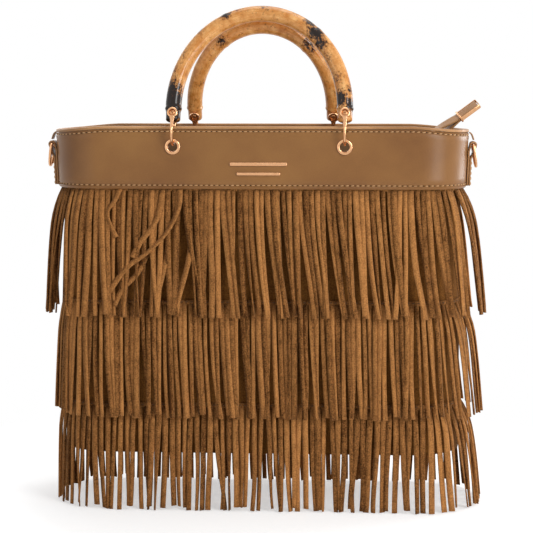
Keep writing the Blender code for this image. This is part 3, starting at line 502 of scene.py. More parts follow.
SUEDE_THICKNESS, HEADER_OUT, STRIP_ROWS = 0.0011, 0.0005, 14
CLUMP_PITCH, CLUMP_PULL = 0.017, (0.0, 0.34)
RAGGED_HEM, STRIP_LAYERS, BULGE_RATE = 0.0040, 0.0024, 6.0


# %% One strip
def laid_grid(bm, columns, rows, side, place):
    """A grid whose points place(across, down) sets, with its faces turned away from the bag."""
    before = set(bm.faces)
    made = bmesh.ops.create_grid(bm, x_segments=columns, y_segments=rows, size=1)["verts"]
    for vert in made:
        vert.co = place(vert, vert.co.x, round((1 - vert.co.y) / 2 * rows))
    if side == BACK:
        bmesh.ops.reverse_faces(bm, faces=[face for face in bm.faces if face not in before])


def lay_strip(bm, tone_and_shade_layer, side, rows, width, tone, cup, painted_side_shade):
    """A strip two faces wide whose rows follow (point, sideways, outwards)."""

    def place(vert, across, down):
        point, sideways, outwards = rows[down]
        # The strip's own tone, plus painted shade that is lighter on one side of the strip and darker on the other.
        vert[tone_and_shade_layer] = tone + painted_side_shade * across
        return point + sideways * across * width / 2 + outwards * cup * (1 - across * across)

    laid_grid(bm, 2, len(rows) - 1, side, place)


def bulge(t, reach):
    """A strip springs out of the seam quickly and then hangs almost straight."""
    return reach * (0.55 * (1 - math.exp(-BULGE_RATE * t)) + 0.45 * t)


def swayed(places, share):
    """How far the strips as a whole hang off the plumb line, from evenly spaced readings."""
    spot = min(max(share, 0), 0.9999) * (len(places) - 1)
    low = int(spot)
    return places[low] + (places[low + 1] - places[low]) * (spot - low)


def free_strip(side, along, clump, tier, dice):
    """Rows for a strip that hangs on its own: it leans, waves and turns more towards its end."""
    sizes = TIERS[tier]
    top, length = sizes["seam"], sizes["seam"] - sizes["hem"] - RAGGED_HEM * dice.random() ** 3
    limit = half_round(top) - sizes["pitch"] * 0.5
    clump_middle, pull = clump
    lean = swayed(sizes["sway"], 0.5 + along / limit / 2) + dice.gauss(0, 1) * sizes["stray"]
    lean += (clump_middle - along) * pull
    wave, phase, rate = dice.uniform(0, 0.0016), dice.uniform(0, 6.28), dice.uniform(0.8, 1.8)
    turn = math.radians(dice.gauss(0, 1) * sizes["turn"])
    layer, lift = dice.random() * STRIP_LAYERS, dice.uniform(-0.2, 1) * 0.0016
    _, normal, _ = on_wall(side, along, top)
    far = sizes["right"] if along > 0 else sizes["left"]
    reach = sizes["front"] + (far - sizes["front"]) * abs(normal.x)
    rows = []
    for row in range(STRIP_ROWS + 1):
        t = row / STRIP_ROWS
        drift = lean * t**1.4 + wave * math.sin(phase + rate * math.pi * t) * t
        out = HEADER_OUT + bulge(t, reach) + (layer + lift * t) * min(4 * t, 1)
        place = min(max(along + drift, -limit), limit)
        point, normal, sideways = on_wall(side, place, top - length * t, out)
        angle = turn * t * t * (3 - 2 * t)
        across = sideways * math.cos(angle) + normal * math.sin(angle)
        rows.append((point, across, normal * math.cos(angle) - sideways * math.sin(angle)))
    return rows


# %% [markdown]
# A few strips of the top tier lie across their neighbours on the left of the front. They follow
# a short list of places, given as the photograph shows them: across and down, in pixels.

# %% Strips that lie across the others
PIXEL, PHOTO_MIDDLE_X, PHOTO_LEVEL_Y, PHOTO_LEVEL_Z = 0.00088, 259.3, 38.0, 0.416
CROSSING_WIDTH = 0.0046
CROSSING = [
    ([(181, 189), (181, 206), (175, 222), (165, 237), (147, 254), (129, 267), (111, 291)], 0.0098, 55),
    ([(163, 192), (161, 213), (154, 227), (143, 241), (134, 257)], 0.0082, 20),
    ([(150, 250), (140, 272), (125, 288), (116, 305)], 0.0088, 30),
    ([(121, 189), (116, 202), (110, 211), (111, 221), (118, 237)], 0.0070, 60),
    ([(193, 235), (190, 262), (184, 285), (180, 300), (178, 314)], 0.0092, 25),
    ([(170, 240), (167, 262), (163, 280), (158, 300), (155, 314)], 0.0080, 20),
]


def crossing_strip(pixels, out, turn):
    points = smooth_curve([(x, y, 0) for x, y in pixels], 6)
    rows = []
    for index, spot in enumerate(points):
        along = (spot.x - PHOTO_MIDDLE_X) * PIXEL
        z = PHOTO_LEVEL_Z - (spot.y - PHOTO_LEVEL_Y) * PIXEL
        rise = out * min(1, 0.10 + 3.5 * index / len(points))
        rows.append(on_wall(FRONT, along, z, rise)[:2])
    laid = []
    for index, (point, normal) in enumerate(rows):
        onward = (rows[min(index + 1, len(rows) - 1)][0] - rows[max(index - 1, 0)][0]).normalized()
        bend = Matrix.Rotation(math.radians(turn) * math.sin(math.pi * index / len(rows)), 3, onward)
        outwards = bend @ normal
        laid.append((point, outwards.cross(onward).normalized(), outwards))
    return laid


# %% The combs
def clumps(reach, dice):
    """Middles of the clumps along a wall, each with how strongly it draws its strips."""
    found, place = [], -reach
    while place < reach:
        place += CLUMP_PITCH * dice.uniform(0.5, 1.5)
        found.append((place, dice.uniform(*CLUMP_PULL)))
    return found


def comb(tier, word, dice):
    side, sizes = SIDES[word], TIERS[tier]
    reach = half_round(sizes["seam"])
    count = int(2 * reach / sizes["pitch"])
    bm = bmesh.new()
    tone_and_shade_layer = bm.verts.layers.float.new("tone")

    def header(vert, across, down):
        vert[tone_and_shade_layer] = 0.35
        z = sizes["seam"] + (sizes["header"] if down == 0 else -0.0010)
        return on_wall(side, across * reach, z, HEADER_OUT)[0]

    laid_grid(bm, 2 * count, 1, side, header)
    area, cut_width = 2 * reach * sizes["header"], 0.0
    gathered = clumps(reach, dice)
    for index in range(count):
        along = -reach + 2 * reach * (index + 0.5) / count + dice.gauss(0, 0.0004)
        clump = min(gathered, key=lambda item: abs(item[0] - along))
        width = dice.uniform(*sizes["width"])
        strip = free_strip(side, along, clump, tier, dice)
        # Each strip gets its own random tone and a random painted shade from one side to the other.
        tone, cup, painted_side_shade = dice.uniform(0.2, 0.8), dice.uniform(-0.0004, 0.0009), dice.gauss(0, 0.14)
        lay_strip(bm, tone_and_shade_layer, side, strip, width, tone, cup, painted_side_shade)
        area += width * (strip[0][0] - strip[-1][0]).length
        cut_width += width
    if tier == "top" and word == "front":
        for pixels, out, turn in CROSSING:
            strip = crossing_strip(pixels, out, turn)
            # These strips get a fixed painted shade from one side to the other.
            lay_strip(bm, tone_and_shade_layer, side, strip, CROSSING_WIDTH, dice.uniform(0.45, 0.65), 0.0003, 0.1)
            area += CROSSING_WIDTH * sum((a[0] - b[0]).length for a, b in zip(strip, strip[1:]))
            cut_width += CROSSING_WIDTH
    name = f"cut_fringe_{tier}_{word}"
    made = piece(name, bm, STRIP_SUEDE, "bag", [f"fringe_{tier}_{word}"], recalc=False, sharp=60)
    thicken(made, SUEDE_THICKNESS, 1)
    flat = (max(cut_width, 2 * reach), sizes["seam"] - sizes["hem"] + sizes["header"])
    return made, count, area


dice = random.Random(11)
for tier in TIERS:
    for word in SIDES:
        _, strips, flat_area = comb(tier, word, dice)
        print(tier, word, strips, "strips, cut from", round(flat_area, 4), "square metres")

# %% [markdown]
# ## Leather band, facing and rim piping
# The band is stiff leather with its lower edge turned in, sewn a few millimetres from both
# edges. The seam pulls the leather down into a shallow groove, and the strip beyond it puffs up
# a little. Inside, a facing of the same leather backs it, and a rolled piping closes the rim.

# %% Band profile
BAND_STITCH_LOW = BAND_BOTTOM_Z + 0.0034
BAND_STITCH_HIGH = BAND_TOP_Z - 0.0018
GROOVE, PUFF, EDGE_ROLL = 0.0008, 0.0007, 0.0006
WALL_STEP = 0.0035


def wall_places(z):
    """Places all the way round one half, from seam to seam."""
    reach = half_round(z) - 0.0003
    count = int(2 * reach / WALL_STEP)
    return [-reach + 2 * reach * index / count for index in range(count + 1)]


def wall_rows(side, levels):
    """Rows for a wall from levels of (height, offset, share of the rim's drop)."""
    rows = []
    for z, out, follows in levels:
        row = [on_wall(side, place, z, out)[0] for place in wall_places(BAND_BOTTOM_Z)]
        for point in row:
            point.z -= rim_drop(point.x) * follows
        rows.append(row)
    return rows


def face_out(bm, side, outwards=1):
    """Turns a half wall so that its middle faces away from the bag, or with -1 towards it."""
    bmesh.ops.recalc_face_normals(bm, faces=bm.faces)
    middle = min(bm.faces, key=lambda face: abs(face.calc_center_median().x))
    if middle.normal.y * side * outwards < 0:
        bmesh.ops.reverse_faces(bm, faces=bm.faces)
    return bm


# %% Band and facing with their eyelet holes
EYELET_BORE, EYELET_BARREL = 0.0042, 0.0007


def eyelet_middle(word, hand):
    low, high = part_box(f"eyelet_{word}_{hand}")
    return (Vector(low) + Vector(high)) / 2


def punched(made, word):
    """Cuts the two round eyelet holes through a wall, and keeps the result as its mesh."""
    bm = bmesh.new()
    for hand in HANDS:
        spot = eyelet_middle(word, hand)
        turn = Matrix.Translation((spot.x, spot.y, spot.z)) @ Matrix.Rotation(math.pi / 2, 4, "X")
        radius = EYELET_BORE + EYELET_BARREL + GAP
        bmesh.ops.create_cone(bm, cap_ends=True, segments=32, radius1=radius, radius2=radius, depth=0.02, matrix=turn)
    data = bpy.data.meshes.new("punch")
    bm.to_mesh(data)
    bm.free()
    punch = bpy.data.objects.new("punch", data)
    bpy.context.scene.collection.objects.link(punch)
    hole = made.modifiers.new("holes", "BOOLEAN")
    hole.object, hole.solver = punch, "EXACT"
    bpy.context.view_layer.update()
    graph = bpy.context.evaluated_depsgraph_get()
    cut = bpy.data.meshes.new_from_object(made.evaluated_get(graph), depsgraph=graph)
    made.modifiers.clear()
    made.data = cut
    cut.shade_smooth()
    cut.set_sharp_from_angle(angle=math.radians(40))
    bpy.data.objects.remove(punch)


for word, side in SIDES.items():
    band_levels = [
        (BAND_BOTTOM_Z, BAND_OUT - EDGE_ROLL, 0),
        (BAND_BOTTOM_Z + EDGE_ROLL, BAND_OUT, 0),
        (BAND_STITCH_LOW - 0.0015, BAND_OUT + PUFF, 0),
        (BAND_STITCH_LOW - 0.0005, BAND_OUT - GROOVE / 2, 0),
        (BAND_STITCH_LOW, BAND_OUT - GROOVE, 0),
        (BAND_STITCH_LOW + 0.0005, BAND_OUT - GROOVE / 2, 0),
        (BAND_STITCH_LOW + 0.0018, BAND_OUT + PUFF / 2, 0),
        (BAND_STITCH_LOW + 0.0060, BAND_OUT, 0.1),
        ((BAND_STITCH_LOW + BAND_STITCH_HIGH) / 2, BAND_OUT, 0.5),
        (BAND_STITCH_HIGH - 0.0060, BAND_OUT, 0.85),
        (BAND_STITCH_HIGH - 0.0018, BAND_OUT + PUFF / 2, 1),
        (BAND_STITCH_HIGH - 0.0005, BAND_OUT - GROOVE / 2, 1),
        (BAND_STITCH_HIGH, BAND_OUT - GROOVE, 1),
        (BAND_STITCH_HIGH + 0.0005, BAND_OUT - GROOVE / 2, 1),
        (BAND_STITCH_HIGH + 0.0011, BAND_OUT, 1),
        (BAND_TOP_Z, BAND_OUT - EDGE_ROLL, 1),
    ]
    bm = face_out(drawn_through(wall_rows(side, band_levels)), side)
    band = piece(f"leather_band_{word}", bm, BAND_LEATHER, "bag", [f"band_{word}"], recalc=False)
    thicken(band, BAND_WALL - EDGE_ROLL, -1)
    punched(band, word)
    inner = FACING_OUT - FACING_WALL
    facing_levels = [(FACING_BOTTOM_Z, inner, 0), ((FACING_BOTTOM_Z + BAND_TOP_Z) / 2, inner, 0.5)]
    facing_levels += [(BAND_TOP_Z - 0.0042, inner, 1), (BAND_TOP_Z - 0.0034, inner + GROOVE, 1)]
    facing_levels += [(BAND_TOP_Z - 0.0026, inner, 1), (BAND_TOP_Z, inner, 1)]
    bm = face_out(drawn_through(wall_rows(side, facing_levels)), side, -1)
    facing = piece(f"leather_facing_{word}", bm, FACING_LEATHER, "bag", [f"facing_{word}"], recalc=False)
    thicken(facing, FACING_WALL - GROOVE, -1)
    punched(facing, word)
print("band height:", round(BAND_TOP_Z - BAND_BOTTOM_Z, 4))

# %% Rim piping
PIPING_STEPS = 12


def rim_loop(z, out):
    """The whole rim as one ring of points, front half and back half."""
    front = wall_rows(FRONT, [(z, out, 1)])[0]
    back = wall_rows(BACK, [(z, out, 1)])[0]
    return front + back[::-1]


piping_rows = []
middle_out = (BAND_OUT + FACING_OUT - FACING_WALL) / 2
half_wide = (BAND_OUT - FACING_OUT + FACING_WALL) / 2 + 0.0001
for step in range(PIPING_STEPS):
    angle = 2 * math.pi * step / PIPING_STEPS
    wide = math.copysign(abs(math.cos(angle)) ** 0.55, math.cos(angle)) * half_wide
    tall = math.copysign(abs(math.sin(angle)) ** 0.55, math.sin(angle)) * PIPING_HEIGHT / 2
    piping_rows.append(rim_loop(RIM_Z - PIPING_HEIGHT / 2 + tall, middle_out + wide))
bm = drawn_through(piping_rows, closed=True, joined=True)
piece("rolled_rim_piping", bm, PIPING_LEATHER, "bag", ["rim_piping"], sharp=70)
print("piping rings:", PIPING_STEPS)

# %% [markdown]
# ## Saddle stitches
# Thick thread at four and a half millimetres to the stitch. Each one is a small slanting bead half
# sunk in the groove, with a dark bead at its end whose colour is the painted shadow of the needle
# hole. One mesh holds a whole row.

# %% Stitch rows
STITCH_PITCH, STITCH_LENGTH, STITCH_THICK = 0.0045, 0.0032, 0.00055
HOLE_THICK = 0.00062


def bead(bm, centre, long, up, out, sizes):
    """A small ellipsoid with its own directions, a few dozen faces at most."""
    basis = Matrix((long * sizes[0], up * sizes[1], out * sizes[2])).transposed().to_4x4()
    place = Matrix.Translation(centre) @ basis
    bmesh.ops.create_uvsphere(bm, u_segments=6, v_segments=4, radius=1, matrix=place)


def stitch_line(name, spots, thread=None, hole=True, body="bag"):
    """Beads at (point, sideways, outwards) spots, and dark beads of painted shadow for the holes between them."""
    threads, holes = bmesh.new(), bmesh.new()
    for point, sideways, outwards in spots:
        up = outwards.cross(sideways)
        slant = (sideways + up * 0.10).normalized()
        bead(threads, point, slant, outwards.cross(slant), outwards, (STITCH_LENGTH / 2, STITCH_THICK, STITCH_THICK))
        # A dark bead of painted shadow stands for the needle hole.
        spot = point + sideways * STITCH_PITCH / 2 - outwards * HOLE_THICK * 0.55
        bead(holes, spot, sideways, up, outwards, (HOLE_THICK, HOLE_THICK, HOLE_THICK * 0.7))
    piece(name, threads, thread or THREAD, body)
    if hole:
        piece(f"{name}_holes", holes, NEEDLE_HOLE_SHADOW, body)
    else:
        holes.free()


def wall_spots(side, z, out, follows, inwards=False):
    reach = half_round(z) - STITCH_PITCH
    count = int(2 * reach / STITCH_PITCH)
    spots = []
    for index in range(count):
        point, normal, sideways = on_wall(side, -reach + 2 * reach * (index + 0.5) / count, z, out)
        point.z -= rim_drop(point.x) * follows
        spots.append((point, sideways, normal * (-1 if inwards else 1)))
    return spots


for word, side in SIDES.items():
    seat = BAND_OUT - GROOVE + STITCH_THICK * 0.8
    stitch_line(f"band_stitches_low_{word}", wall_spots(side, BAND_STITCH_LOW, seat, 0))
    stitch_line(f"band_stitches_high_{word}", wall_spots(side, BAND_STITCH_HIGH, seat, 1))
    inside = FACING_OUT - FACING_WALL + GROOVE - STITCH_THICK * 0.5
    stitch_line(f"facing_stitches_{word}", wall_spots(side, BAND_TOP_Z - 0.0034, inside, 1, inwards=True))
    for tier in ("middle", "bottom"):
        z = TIERS[tier]["seam"] + TIERS[tier]["header"] * 0.5
        spots = wall_spots(side, z, HEADER_OUT + SUEDE_THICKNESS + 0.0001, 0)
        stitch_line(f"header_stitches_{tier}_{word}", spots, DARK_THREAD, hole=False)
print("stitches in a band row:", len(wall_spots(FRONT, BAND_STITCH_LOW, 0, 0)))

# %% [markdown]
# ## Eyelets
# A turned ring with a rounded flange outside, a barrel through the wall and a curled lip inside.
# A profile spun on its axis gives the flange its true round shoulder.

# %% Eyelets
EYELET_FLANGE, FLANGE_HEIGHT, EYELET_LIP = 0.00695, 0.0013, 0.0006
WASHER_RADIUS, WASHER_HEIGHT = 0.0066, 0.0008
EYELET_OUTSIDE = (BAND_OUT - FACING_OUT + FACING_WALL) / 2 + GAP

shoulder = arc((0, 0), 1, 0, 180, 12)
flange_middle = (EYELET_FLANGE + EYELET_BORE) / 2
flange_half = (EYELET_FLANGE - EYELET_BORE) / 2
outer = [(flange_middle + flange_half * x, EYELET_OUTSIDE + FLANGE_HEIGHT * y**0.7) for x, y in [(c, max(s, 0)) for c, s in shoulder]]
inside_z = -EYELET_OUTSIDE - WASHER_HEIGHT - GAP
lip = [
    (EYELET_BORE, inside_z - EYELET_LIP * 0.6),
    (EYELET_BORE + EYELET_BARREL * 0.6, inside_z - EYELET_LIP),
    (WASHER_RADIUS - EYELET_LIP, inside_z - EYELET_LIP * 0.4),
    (WASHER_RADIUS - EYELET_LIP, inside_z),
    (EYELET_BORE + EYELET_BARREL, inside_z),
    (EYELET_BORE + EYELET_BARREL, EYELET_OUTSIDE),
]
eyelet_profile = outer + lip + [outer[0]]
washer_profile = [
    (EYELET_BORE + EYELET_BARREL + GAP, -EYELET_OUTSIDE),
    (WASHER_RADIUS, -EYELET_OUTSIDE),
    (WASHER_RADIUS, -EYELET_OUTSIDE - WASHER_HEIGHT),
    (EYELET_BORE + EYELET_BARREL + GAP, -EYELET_OUTSIDE - WASHER_HEIGHT),
    (EYELET_BORE + EYELET_BARREL + GAP, -EYELET_OUTSIDE),
]
WALL_MIDDLE = RIM_HALF_DEPTH + (BAND_OUT + FACING_OUT - FACING_WALL) / 2
for word, side in SIDES.items():
    for hand in HANDS:
        spot = eyelet_middle(word, hand)
        place = Matrix.Translation((spot.x, side * WALL_MIDDLE, spot.z)) @ Matrix.Rotation(-side * math.pi / 2, 4, "X")
        piece(f"turned_eyelet_{word}_{hand}", turned(eyelet_profile), ROSE_GOLD, "bag",
              [f"eyelet_{word}_{hand}"], place)
        piece(f"turned_washer_{word}_{hand}", turned(washer_profile), ROSE_GOLD, "bag",
              [f"eyelet_washer_{word}_{hand}"], place)
print("eyelet across:", round(2 * EYELET_FLANGE, 4))

# %% [markdown]
# ## Bamboo canes
# Each handle is one cane bent to half an ellipse on two short straight legs. The cane swells to
# a knot above each shackle, has a nodal ring on either shoulder, and is never quite round, so
# its radius wanders by a few hundredths. The leaning frame of each handle is found from its hinge.

# %% Handle frames
joints = {joint["name"]: joint for joint in frame["joints"]}
HANDLE_RADIUS, HANDLE_APEX_GAP = 0.0070, 0.0010
HANDLE_SPRING, HANDLE_END, EAR_HEIGHT = 0.0217, 0.0097, 0.0152
HANDLE_STUB, HANDLE_KNOT, HANDLE_RING, KNOT_HALF = 0.90, 1.06, 1.05, 0.0017
APEX_Z = {"front": 0.4360, "back": 0.4257}
NODE_ANGLES = {"front": (50.0, 113.0), "back": (50.0, 124.0)}


def handle_frame(word):
    """The hinge's place and lean, the half span between the legs, and the reach to the apex."""
    pivot = Vector(joints[f"{word}_handle_swing"]["pos_m"])
    inwards = WALL_MIDDLE - HANDLE_RADIUS - HANDLE_APEX_GAP / 2
    reach = math.hypot(APEX_Z[word] - pivot.z, inwards)
    lean = SIDES[word] * math.asin(inwards / reach)
    half_span = eyelet_middle(word, "right").x
    return Matrix.Translation(pivot) @ Matrix.Rotation(lean, 4, "X"), half_span, reach


# %% Scorch marks
# Each mark is an angle round the arch from the right leg, a side of the cane, a size and a force.
SCORCH = {
    "front": [
        (172, 0.5, 0.020, 0.62), (178, 0.8, 0.024, 0.78), (184, 0.6, 0.018, 0.85), (160, 0.9, 0.014, 0.34),
        (148, 0.6, 0.012, 0.30), (132, 1.0, 0.013, 0.42), (113, 0.6, 0.008, 0.62), (104, 0.9, 0.010, 0.36),
        (88, 0.7, 0.012, 0.34), (57, 0.7, 0.010, 0.55), (50, 0.2, 0.012, 0.66), (43, -0.4, 0.011, 0.56),
        (33, -0.7, 0.010, 0.34), (18, -0.6, 0.012, 0.36), (5, -0.7, 0.012, 0.66), (1, 0.8, 0.013, 0.60),
        (10, 0.9, 0.010, 0.45), (68, 0.9, 0.010, 0.30),
    ],
    "back": [
        (124, 0.2, 0.010, 0.48), (108, -0.3, 0.008, 0.26), (52, 0.5, 0.009, 0.55), (47, 0.2, 0.007, 0.48),
        (160, -0.5, 0.010, 0.28), (30, 0.8, 0.009, 0.32), (12, 0.6, 0.009, 0.30), (85, -0.2, 0.010, 0.22),
        (2, 0.8, 0.008, 0.45), (178, -0.6, 0.008, 0.24),
    ],
}
FINE_STEP, ALL_OVER_SPECKS, SCORCH_LIFT = 1.6, 0.19, 1.14


def cane_path(half_span, reach, nodes):
    """Centre points in the handle's own frame, with the swelling and the arch angle at each."""
    rise = reach - HANDLE_SPRING
    rows = []
    for height, scale in (
        (HANDLE_END, 0.70), (HANDLE_END + 0.0006, 0.84), (HANDLE_END + 0.0014, HANDLE_STUB),
        (HANDLE_END + 0.0050, HANDLE_STUB + 0.01), (HANDLE_SPRING - 2 * KNOT_HALF, HANDLE_STUB + 0.02),
        (HANDLE_SPRING - KNOT_HALF, 1.00), (HANDLE_SPRING - KNOT_HALF / 2, HANDLE_KNOT),
        (HANDLE_SPRING, HANDLE_KNOT), (HANDLE_SPRING + KNOT_HALF / 2, 1.0),
    ):
        rows.append((Vector((half_span, 0, height)), scale, -4))
    steps = int(180 / FINE_STEP)
    for index in range(1, steps):
        angle = 180 * index / steps
        turn = math.radians(angle)
        ring = max(math.exp(-(((angle - node) / 1.5) ** 2)) for node in nodes)
        dent = max(math.exp(-(((angle - node - 3.2) / 1.4) ** 2)) for node in nodes)
        scale = 1.0 + (HANDLE_RING - 1) * ring - 0.018 * dent
        scale += 0.016 * noise.noise(Vector((angle * 0.09, half_span * 50, 0)))
        point = Vector((half_span * math.cos(turn), 0, HANDLE_SPRING + rise * math.sin(turn)))
        rows.append((point, scale, angle))
    right = [row for row in rows if row[2] == -4]
    return rows + [(Vector((-p.x, 0, p.z)), scale, 184) for p, scale, _ in reversed(right)]


# %% The canes
CANE_SIDES = 28


def cane(word):
    place, half_span, reach = handle_frame(word)
    path = cane_path(half_span, reach, NODE_ANGLES[word])
    across = Vector((0, 1, 0))
    radii = [(HANDLE_RADIUS * scale, HANDLE_RADIUS * scale) for _, scale, _ in path]
    bm = tube([point for point, _, _ in path], across, radii, sides=CANE_SIDES)
    bm.verts.ensure_lookup_table()
    scorch_layer = bm.verts.layers.float.new("scorch")
    map_layer = bm.loops.layers.uv.new("cane")
    travelled, lengths = 0.0, []
    for index, (point, _, _) in enumerate(path):
        travelled += (point - path[index - 1][0]).length if index else 0
        lengths.append(travelled)
    marks = []
    for angle, outer_side, size, force in SCORCH[word]:
        turn = math.radians(min(max(angle, 0), 180))
        drop = max(angle - 180, 0) * 0.0015 + max(-angle, 0) * 0.0015
        rise = (reach - HANDLE_SPRING) * math.sin(turn)
        middle = Vector((half_span * math.cos(turn), 0, HANDLE_SPRING + rise - drop))
        away = Vector((math.cos(turn), 0, math.sin(turn))) * HANDLE_RADIUS * outer_side
        front = Vector((0, -HANDLE_RADIUS * math.sqrt(max(1 - outer_side**2, 0)), 0))
        marks.append((middle + away + front, size, force))
    for vert in bm.verts:
        heats = [force * math.exp(-(((vert.co - spot).length / size) ** 2) * 1.6) for spot, size, force in marks]
        vert[scorch_layer] = max(ALL_OVER_SPECKS, SCORCH_LIFT * max(heats))
    for face in bm.faces:
        rings = [loop.vert.index // CANE_SIDES for loop in face.loops]
        turns = [loop.vert.index % CANE_SIDES for loop in face.loops]
        wraps = max(turns) - min(turns) > 1 and len(turns) == 4
        for loop, ring, turn in zip(face.loops, rings, turns):
            share = (turn + CANE_SIDES if wraps and turn == 0 else turn) / CANE_SIDES
            loop[map_layer].uv = (share * 2 * math.pi * HANDLE_RADIUS, lengths[min(ring, len(lengths) - 1)])
    return piece(f"bamboo_cane_{word}", bm, BAMBOO, f"{word}_handle", [f"{word}_handle"], place, sharp=60)


for word in SIDES:
    made = cane(word)
    print(made.name, len(made.data.polygons), "faces")

# %% [markdown]
# ## Horseshoe shackles
# A cast horseshoe whose bow runs through the eyelet. Each arm widens to a round eye that lies
# against the cane, and a slotted screw goes through both eyes and the cane.

# %% Shackle shape
BOW_RADIUS, BOW_WIRE, BOW_BEND, BOW_FLARE = 0.0110, 0.00125, 0.0030, 0.0004
EAR_RADIUS, EAR_THICKNESS, EAR_HOLE = 0.0046, 0.0026, 0.0028
SCREW_HEAD, SLOT_WIDTH, SLOT_DEPTH = 0.0025, 0.0006, 0.0005
EAR_OUT = HANDLE_RADIUS * HANDLE_STUB + 2 * GAP + EAR_THICKNESS / 2


def shackle_arm_path():
    """(y, z, half width, half thickness) down one arm, round the bow and up the other."""
    top = EAR_HEIGHT - EAR_RADIUS * 0.72
    arm = [
        (EAR_OUT, top, 0.0027, 0.0011),
        (EAR_OUT + 0.0001, top - 0.0015, 0.0022, 0.00115),
        (EAR_OUT + BOW_FLARE, top - BOW_BEND, 0.00175, 0.0012),
        (EAR_OUT + BOW_FLARE * 2.5, top - 1.8 * BOW_BEND, 0.00145, 0.00125),
        (BOW_RADIUS - 0.0001, BOW_BEND * 0.6, BOW_WIRE, BOW_WIRE),
    ]
    bow = [(y, z, BOW_WIRE, BOW_WIRE) for y, z in arc((0, 0), BOW_RADIUS, 0, -180, 28)]
    return arm + bow + [(-y, z, a, b) for y, z, a, b in reversed(arm)]


def shackle_mesh():
    spots = shackle_arm_path()
    path = [Vector((0, y, z)) for y, z, _, _ in spots]
    return tube(path, Vector((1, 0, 0)), [(a, b) for _, _, a, b in spots], sides=16)


def ear_profile():
    half, rim, well = EAR_THICKNESS / 2, EAR_RADIUS, EAR_HOLE
    face = [(well, half - 0.0005), (well + 0.0002, half - 0.0001), (well + 0.0006, half), (rim - 0.0006, half)]
    edge = [(rim - 0.0001, half - 0.0004), (rim, 0), (rim - 0.0001, -half + 0.0004), (rim - 0.0006, -half)]
    return face + edge + [(well, -half), (well, half - 0.0005)]


def screw_head(sign):
    """A low domed head with a straight slot, in the eye's own frame."""
    dome = [(0, 0.0007), (0.0012, 0.00065), (0.0021, 0.0004), (SCREW_HEAD, 0), (SCREW_HEAD, -0.0008), (0, -0.0008)]
    bm = turned(dome, 24)
    bmesh.ops.recalc_face_normals(bm, faces=bm.faces)
    for plane, push in ((1, SLOT_WIDTH / 2), (-1, -SLOT_WIDTH / 2)):
        bmesh.ops.bisect_plane(bm, geom=bm.verts[:] + bm.edges[:] + bm.faces[:], plane_co=(0, push, 0), plane_no=(0, plane, 0))
    for vert in bm.verts:
        if abs(vert.co.y) < SLOT_WIDTH / 2 - 1e-6 and vert.co.z > 0:
            vert.co.z -= SLOT_DEPTH
    return bm


# %% Hang the shackles
for word, side in SIDES.items():
    place, half_span, _ = handle_frame(word)
    for hand, sign in HANDS.items():
        shift = place @ Matrix.Translation((sign * half_span, 0, 0))
        body = f"{word}_handle"
        piece(f"horseshoe_{word}_{hand}", shackle_mesh(), ROSE_GOLD, body, [f"shackle_{word}_{hand}"], shift)
        for outwards in (-1, 1):
            lie = Matrix.Translation((0, outwards * EAR_OUT, EAR_HEIGHT)) @ Matrix.Rotation(-outwards * math.pi / 2, 4, "X")
            word_out = "outer" if outwards == side else "inner"
            name = f"{word}_{hand}_{word_out}"
            piece(f"horseshoe_eye_{name}", turned(ear_profile(), 40), ROSE_GOLD, body, (), shift @ lie)
            nodes = [f"shackle_screw_{word}_{hand}"] if word_out == "outer" else ()
            spin = Matrix.Rotation(math.radians(35 * sign + 20 * outwards), 4, "Z")
            piece(f"slotted_screw_{name}", screw_head(outwards), DULL_GOLD, body, nodes, shift @ lie @ spin)
print("eye across:", 2 * EAR_RADIUS)

# %% [markdown]
# ## Side rings, tabs and ties
# Each side seam carries a folded leather tab with a cast ring through its fold, and a short thin
# tie runs up to the rim. The leather pieces are flat strips pulled along a path, then thickened.

# %% Rings
RING_OUT, RING_WIRE, RING_HALF, RING_DROP, RING_ROUND = 0.0046, 0.0014, 0.0098, 0.0192, 0.0024
TAB_HALF, TAB_LEATHER, TAB_BOTTOM_Z, TAB_JOIN_Z = 0.0075, 0.0016, 0.2845, 0.3085
TIE_HALF, TIE_LEATHER, TIE_BOW, RING_TILT = 0.0050, 0.0012, 0.62, 8.5
RING_Z = joints["ring_right_swing"]["pos_m"][2]


def ring_path():
    corner = arc((RING_HALF - RING_ROUND, -RING_ROUND), RING_ROUND, 90, 0, 6)
    bow_height = RING_DROP - RING_ROUND
    bow = [(RING_HALF * y, -RING_ROUND + bow_height * z) for y, z in arc((0, 0), 1, 0, -180, 30)]
    bar = [(RING_HALF * share, 0) for share in (-0.5, -0.25, 0, 0.25, 0.5)]
    return bar + corner + bow[1:-1] + [(-y, z) for y, z in reversed(corner)]


for hand, sign in HANDS.items():
    pivot = Vector(joints[f"ring_{hand}_swing"]["pos_m"])
    path = [Vector((0, y, z)) for y, z in ring_path()]
    bm = tube(path, Vector((1, 0, 0)), [(RING_WIRE, RING_WIRE)] * len(path), joined=True, sides=14)
    place = Matrix.Translation(pivot) @ Matrix.Rotation(-sign * math.radians(RING_TILT), 4, "Y")
    piece(f"cast_side_ring_{hand}", bm, ROSE_GOLD, f"ring_{hand}", [f"side_ring_{hand}"], place)
print("ring height:", RING_DROP)


# %% Tabs and ties
def strap(path, half_width, columns=4):
    """A flat strip along (x, z) points, half_width wide each way along Y."""
    shares = [-1 + 2 * column / columns for column in range(columns + 1)]
    return drawn_through([[Vector((x, half_width * share, z)) for share in shares] for x, z in path])


def side_points(path, sign):
    """World (x, z) for points given as distance from the band's side face and height."""
    return [(sign * (plan_at(max(z, BAND_BOTTOM_Z))[0] + BAND_OUT + out), z) for out, z in path]


